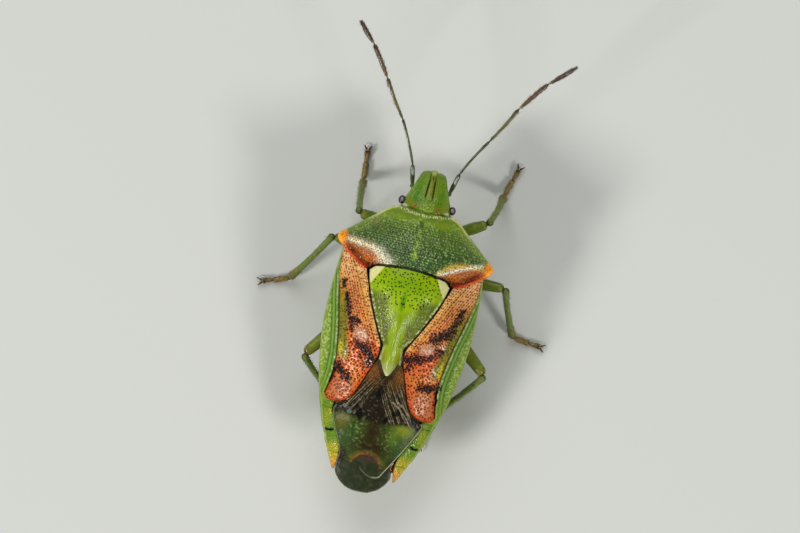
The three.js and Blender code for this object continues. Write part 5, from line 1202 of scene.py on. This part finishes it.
def make_feeler(side, tag):
    L = Limb()
    pts = [np.array([side * p[0], p[1], p[2]]) for p in FEELERS[tag]]
    # the socket on the side of the head
    L.ball(pts[0] + np.array([0, -0.02, 0.0]), 0.088, C(74, 92, 28), squash=(0.8, 0.9, 0.9))
    for k, (rows, base, mid, tip) in enumerate(SEGMENTS):
        P, Q = pts[k], pts[k + 1]
        d = Q - P; length = np.linalg.norm(d); d /= length
        bend = np.array([0, 0, (0.02, 0.05, 0.04, 0.015, -0.02)[k]]) + np.array([side * (0.0, -0.03, 0.02, -0.01, 0.015)[k], 0, 0])
        gap = 0.012
        curve = lambda t, P=P, Q=Q, d=d, bend=bend: P + d * gap + (Q - P - 2 * d * gap) * t + bend * 4 * t * (1 - t)
        cb, cm, ct = C(*base), C(*mid), C(*tip)
        def colour(t, a, cb=cb, cm=cm, ct=ct, k=k):
            e = 0.16 if k >= 3 else 0.3
            c = mix(cb, cm, smooth(0.0, e, t)[..., None])
            c = layer(c, ct, smooth(0.55, 0.98, t))
            speck = smooth(0.62, 0.8, vnoise(a * 0.9, t * length * 7, 0.55, 7 + k))
            c = layer(c, C(26, 18, 12), speck * (0.55 if k < 3 else 0.25))
            if k in (1, 2):
                c = layer(c, C(36, 26, 14), smooth(0.93, 0.99, t) * 0.8)
            # painted highlight: a pale streak along the top, broken up on the smooth first segment
            top_glint = np.clip(np.sin(a), 0, 1) ** 3
            breaks = smooth(0.42, 0.60, vnoise(a * 0.6, t * length * 6, 0.5, 31 + k))
            c = layer(c, C(168, 182, 172), top_glint * breaks * bell(t - 0.5, 0.36) * (0.80, 0.30, 0.22, 0.16, 0.14)[k])
            return c
        fr = L.sweep(curve, profile(rows), colour, around=22, along=max(40, int(length * 60)), rough=0.06, seed=k + 3)
        count = (14, 60, 150, 330, 330)[k]
        L.hairs(fr, 0.05, 0.98, count, (0.045, 0.05, 0.055, 0.06, 0.06)[k], lean=(0.5, 0.7, 0.68, 0.8, 0.8)[k], seed=int(200 + k + side), thick=0.0042, colour=C(130, 116, 84))
        if k in (2, 3):
            L.hairs(fr, 0.1, 0.95, 22, 0.105, lean=0.55, seed=int(260 + k + side), thick=0.005, colour=C(160, 148, 100))
        if k < 4:
            L.ball(Q, rows[-1][1] * 0.80, ct * 0.7, around=14)
    ob = done(L.finish(f"feeler_skin_{tag}", M_FEELER), [f"antenna_{tag}_{k}" for k in range(1, 6)])
    hair_mesh(f"feeler_hairs_{tag}", L.hair)
    return ob

# ------------------------------------------------------------------ legs
LEGS = {  # hip, knee, ankle, toe: outward x, y, z
    "left_front": ([0.60, 0.60, 1.20], [1.95, 0.80, 1.90], [2.06, 1.78, 0.30], [2.16, 2.86]),
    "left_middle": ([0.70, -0.50, 1.20], [2.55, -0.05, 1.92], [3.56, -1.62, 0.30], [4.50, -1.96]),
    "left_hind": ([0.76, -1.40, 1.12], [2.60, -3.78, 1.66], [1.20, -5.02, 0.30], [1.02, -6.12]),
    "right_front": ([0.60, 0.60, 1.20], [1.95, 1.36, 1.90], [2.22, 2.30, 0.30], [2.52, 3.34]),
    "right_middle": ([0.70, -0.50, 1.20], [2.90, -0.44, 2.02], [3.46, -1.80, 0.30], [4.50, -1.94]),
    "right_hind": ([0.76, -1.40, 1.12], [2.90, -3.16, 1.66], [1.60, -4.72, 0.30], [1.46, -5.84]),
}
def make_leg(tag):
    side = -1 if tag.startswith("left") else 1
    hip, knee, ankle, toe = LEGS[tag]
    f3 = lambda p: np.array([side * p[0], p[1], p[2]], float)
    hip, knee, ankle = f3(hip), f3(knee), f3(ankle)
    toe = np.array([side * toe[0], toe[1], 0.10])
    hind, mid = tag.endswith("hind"), tag.endswith("middle")
    seed = sorted(LEGS).index(tag) * 10 + 300
    L, F = Limb(), Limb()
    dk = (knee - hip) / np.linalg.norm(knee - hip)
    fem = C(94, 108, 18) if hind else C(78, 104, 30)
    fem2 = C(84, 104, 22) if hind else C(60, 92, 30)
    # coxa: a rounded stump under the body, then the short trochanter
    root = hip + np.array([-side * 0.06, 0, 0.42])
    cend = hip + dk * 0.20 + np.array([0, 0, -0.03])
    cox = lambda t: root + (cend - root) * t
    L.sweep(cox, profile([(0, 0.27), (0.35, 0.255), (0.70, 0.200), (0.90, 0.165), (1, 0.12)]), lambda t, a: layer(np.ones(t.shape + (3,)) * C(130, 150, 60), C(70, 60, 24), smooth(0.9, 1.0, t) * 0.7), around=28, along=34, rough=0.03, seed=seed)
    t0, t1 = hip + dk * 0.24, hip + dk * 0.52
    L.sweep(lambda t: t0 + (t1 - t0) * t, profile([(0, 0.11), (0.4, 0.145), (0.8, 0.125), (1, 0.10)]), lambda t, a: np.ones(t.shape + (3,)) * C(120, 142, 52), around=24, along=24)
    # femur: thickest past its middle, a soft bend, swollen knee end
    fs, fe = hip + dk * 0.44, knee - dk * 0.05
    bulge = np.array([0, 0, 0.05 if not hind else 0.02])
    fr_max = 0.205 if hind else 0.185
    femur = lambda t: fs + (fe - fs) * t + bulge * 4 * t * (1 - t)
    def fcol(t, a):
        c = mix(fem2, fem, smooth(0.1, 0.6, t)[..., None])
        # painted highlight: paler along the top of the femur
        c = layer(c, C(150, 158, 60), bell(np.sin(a) - 1, 0.5) * 0.35)
        c = layer(c, C(60, 80, 26), smooth(0.55, 0.8, vnoise(a * 1.2, t * 9, 0.5, seed + 1)) * 0.35)
        c = layer(c, C(120, 112, 44), smooth(0.88, 0.97, t) * 0.8)
        return layer(c, C(44, 34, 16), smooth(0.965, 0.995, t) * 0.8)
    fr = L.sweep(femur, profile([(0, 0.10), (0.12, 0.130), (0.40, fr_max * 0.94), (0.62, fr_max), (0.84, fr_max * 0.86), (0.93, fr_max * 0.80), (1, fr_max * 0.62)]), fcol, around=34, along=84, rough=0.012, seed=seed)
    L.hairs(fr, 0.12, 0.97, 110, 0.055, lean=0.72, seed=seed + 2, thick=0.0040)
    # tibia: slim, slightly three-edged, wider at both ends
    dt = (ankle - knee); tl = np.linalg.norm(dt); dt = dt / tl
    ts, te = knee + dt * 0.0, ankle + np.array([0, 0, -0.10]) + dt * 0.02
    bow = np.cross(dt, np.array([0, 0, 1.0])); bow /= max(np.linalg.norm(bow), 1e-6)
    tib = lambda t: ts + (te - ts) * t + bow * (0.03 if not hind else -0.04) * side * 4 * t * (1 - t)
    def tcol(t, a):
        c = np.ones(t.shape + (3,)) * C(88, 116, 46)
        c = layer(c, C(56, 76, 30), smooth(0.16, 0.02, t) * 0.9)
        # painted highlight: paler along the top of the tibia
        c = layer(c, C(132, 140, 62), bell(np.sin(a) - 1, 0.45) * 0.45)
        c = layer(c, C(118, 108, 56), smooth(0.62, 0.95, t) * 0.9)
        c = layer(c, C(58, 42, 24), smooth(0.95, 0.995, t) * 0.8)
        return layer(c, C(48, 60, 24), smooth(0.55, 0.75, vnoise(a * 1.4, t * 14, 0.5, seed + 3)) * 0.35)
    fr = L.sweep(tib, profile([(0, 0.100), (0.05, 0.118), (0.14, 0.098), (0.45, 0.088), (0.80, 0.100), (0.94, 0.122), (1, 0.090)]), tcol, around=30, along=96, ridge=0.05, lobes=3, rough=0.02, seed=seed + 4)
    L.hairs(fr, 0.04, 0.99, 250, 0.075, lean=0.62, seed=seed + 5, thick=0.0046)
    L.hairs(fr, 0.78, 0.99, 90, 0.085, lean=0.75, seed=seed + 6, thick=0.0048, colour=C(140, 122, 80))
    # foot: a long first joint, a second that carries the claws
    a0 = te + dt * 0.02
    flat_dir = toe - a0; flat_dir[2] = 0; fl = np.linalg.norm(flat_dir); flat_dir /= fl
    m = a0 + flat_dir * fl * 0.50; m[2] = 0.085
    a1 = a0 + flat_dir * 0.02
    z0 = a0[2]
    toe1 = np.array([toe[0], toe[1], 0.115]) - flat_dir * 0.16
    p1 = path3([a1, a0 + flat_dir * fl * 0.16 + np.array([0, 0, mix(0, 0.10 - z0, 0.50)]), np.array([*(a0 + flat_dir * fl * 0.34)[:2], 0.092]), m])
    tar = C(134, 112, 62)
    def scol(t, a):
        c = np.ones(t.shape + (3,)) * tar
        c = layer(c, C(86, 62, 34), smooth(0.8, 1.0, t) * 0.8)
        # painted highlight: paler along the top of the first foot joint
        c = layer(c, C(160, 140, 84), bell(np.sin(a) - 1, 0.5) * 0.5)
        return layer(c, C(70, 46, 26), smooth(0.55, 0.75, vnoise(a * 1.2, t * 8, 0.5, seed + 7)) * 0.4)
    fr1 = F.sweep(p1, profile([(0, 0.050), (0.1, 0.064), (0.5, 0.072), (0.85, 0.080), (1, 0.050)]), scol, around=26, along=60, rough=0.03, seed=seed + 8)
    m2 = m + flat_dir * 0.02
    p2 = path3([m2, m2 + flat_dir * fl * 0.16 + np.array([0, 0, 0.008]), toe1 - flat_dir * 0.10, toe1])
    def s2col(t, a):
        c = np.ones(t.shape + (3,)) * C(128, 102, 56)
        # painted highlight: paler along the top of the second foot joint
        c = layer(c, C(150, 128, 78), bell(np.sin(a) - 1, 0.5) * 0.5)
        return layer(c, C(44, 30, 20), smooth(0.55, 0.9, t))
    fr2 = F.sweep(p2, profile([(0, 0.040), (0.15, 0.056), (0.6, 0.066), (0.9, 0.072), (1, 0.050)]), s2col, around=26, along=50, rough=0.03, seed=seed + 9)
    F.hairs(fr1, 0.05, 0.98, 190, 0.070, lean=0.75, seed=seed + 11, thick=0.0044, colour=C(150, 128, 86))
    F.hairs(fr1, 0.15, 0.98, 120, 0.055, lean=0.55, around=(math.pi * 1.15, math.pi * 1.85), seed=seed + 12, thick=0.0044, colour=C(150, 128, 86))
    F.hairs(fr2, 0.05, 0.98, 130, 0.065, lean=0.75, seed=seed + 13, thick=0.0044, colour=C(140, 118, 80))
    F.ball(a0 - dt * 0.01, 0.056, C(76, 58, 32), around=16)
    F.ball(a0 + flat_dir * 0.03 - np.array([0, 0, 0.01]), 0.050, C(84, 64, 36), around=16)
    F.ball((m + m2) / 2, 0.046, C(70, 50, 28), around=16, squash=(1, 1, 0.95))
    # claws and pads
    K = Limb()
    cross = np.array([-flat_dir[1], flat_dir[0], 0.0])
    for s in (-1, 1):
        b = toe1 + flat_dir * 0.02 + cross * s * 0.022
        claw = path3([b, b + flat_dir * 0.07 + cross * s * 0.055 + np.array([0, 0, 0.018]), b + flat_dir * 0.135 + cross * s * 0.088 + np.array([0, 0, -0.028]), b + flat_dir * 0.142 + cross * s * 0.094 + np.array([0, 0, -0.088])])
        K.sweep(claw, profile([(0, 0.026), (0.3, 0.022), (0.7, 0.013), (1, 0.004)]), lambda t, a: layer(np.ones(t.shape + (3,)) * C(58, 36, 20), C(16, 10, 8), smooth(0.25, 0.7, t)), around=14, along=26)
        pb = toe1 + flat_dir * 0.015 + cross * s * 0.018 + np.array([0, 0, -0.03])
        pad = path3([pb, pb + flat_dir * 0.045 + cross * s * 0.022 + np.array([0, 0, -0.022]), pb + flat_dir * 0.095 + cross * s * 0.04 + np.array([0, 0, -0.042])])
        K.sweep(pad, profile([(0, 0.018), (0.5, 0.028), (0.85, 0.034), (1, 0.022)]), lambda t, a: np.ones(t.shape + (3,)) * C(166, 148, 96), around=14, along=20, flat=0.6)
    for X in (F, K):
        for c in X.co:
            c[:, 2] = np.maximum(c[:, 2], 0.004)
    # everything of the foot stays above the floor, and its sole lies on it
    low = min(c[:, 2].min() for c in F.co)
    done(L.finish(f"leg_skin_{tag}", M_LEG), [f"coxa_{tag}", f"femur_{tag}", f"tibia_{tag}"])
    done(F.finish(f"foot_skin_{tag}", M_FOOT), [f"tarsus_{tag}"])
    done(K.finish(f"claws_{tag}", M_FOOT), [])
    hair_mesh(f"leg_hairs_{tag}", L.hair)
    keep = [h for h in F.hair if (h[0] + h[1] * h[3])[2] > 0.006 and h[0][2] > 0.01]
    hair_mesh(f"foot_hairs_{tag}", keep)

# ------------------------------------------------------------------ assemble
make_pronotum()
make_shield()
for _side, _tag in ((-1, "left"), (1, "right")):
    make_corium(_side, _tag)
    make_film(_side, _tag)
    make_rim(_side, _tag)
    make_feeler(_side, _tag)
make_thorax()
make_abdomen()
make_head()
make_eyes()
make_beak()
for _tag in LEGS:
    make_leg(_tag)

# ------------------------------------------------------------------ studio
def floor_material():
    m = bpy.data.materials.new("floor")
    m.use_nodes = True
    b = m.node_tree.nodes["Principled BSDF"]
    b.inputs["Base Color"].default_value = (0.62, 0.63, 0.60, 1)
    b.inputs["Roughness"].default_value = 0.85
    b.inputs["Specular IOR Level"].default_value = 0.2
    return m

bpy.ops.mesh.primitive_plane_add(size=3.0, location=(0, 0, 0))
floor = bpy.context.object
floor.name = "floor"
floor.data.materials.append(floor_material())

scene = bpy.context.scene
world = bpy.data.worlds.new("studio")
scene.world = world
world.use_nodes = True
world.node_tree.nodes["Background"].inputs["Color"].default_value = (0.84, 0.84, 0.82, 1)
world.node_tree.nodes["Background"].inputs["Strength"].default_value = 0.17

def soft_light(name, at, size, power, colour=(1, 1, 1), target=(0, 0, 0.002), size_y=None):
    data = bpy.data.lights.new(name, "AREA")
    data.shape = "RECTANGLE"
    data.size, data.size_y = size, size_y or size
    data.energy = power
    data.color = colour
    ob = bpy.data.objects.new(name, data)
    ob.location = at
    ob.rotation_euler = (Vector(target) - Vector(at)).to_track_quat("-Z", "Y").to_euler()
    scene.collection.objects.link(ob)
    return ob

TURN = math.atan2(0.2317, 0.9728)                 # the photo's right is this far round from the body's right
def around(right, up, z):
    """a place given along the photo's right and up, in metres"""
    return (right * math.cos(TURN) - up * math.sin(TURN), right * math.sin(TURN) + up * math.cos(TURN), z)

def from_side(turn, zenith, away):
    """turn: degrees round from the photo's right, counter-clockwise; zenith: degrees off straight up"""
    t, z = math.radians(turn), math.radians(zenith)
    return around(away * math.sin(z) * math.cos(t), away * math.sin(z) * math.sin(t), away * math.cos(z))

soft_light("left", from_side(-150, 56, 0.22), 0.045, 0.31, (1.0, 0.99, 0.97))
soft_light("right", from_side(-46, 55, 0.22), 0.045, 0.22, (1.0, 1.0, 0.98))
soft_light("top", from_side(96, 46, 0.22), 0.15, 0.23, (0.98, 1.0, 1.0))

cam_data = bpy.data.cameras.new("camera")
cam = bpy.data.objects.new("camera", cam_data)
scene.collection.objects.link(cam)
AIM_U, AIM_V, PLANE_Z, AWAY = -0.369, -0.514, 3.4, 250.0
cam.location = (AIM_U * MM, (AIM_V - CENTRE_Y) * MM, (PLANE_Z + AWAY) * MM)
cam.rotation_euler = (0, 0, TURN)
cam_data.sensor_width = 36
cam_data.lens = 36 * AWAY / 24.10
cam_data.clip_start, cam_data.clip_end = 0.01, 20
scene.camera = cam
scene.view_settings.view_transform = "Standard"
scene.view_settings.look = "None"
scene.view_settings.exposure = 0.0
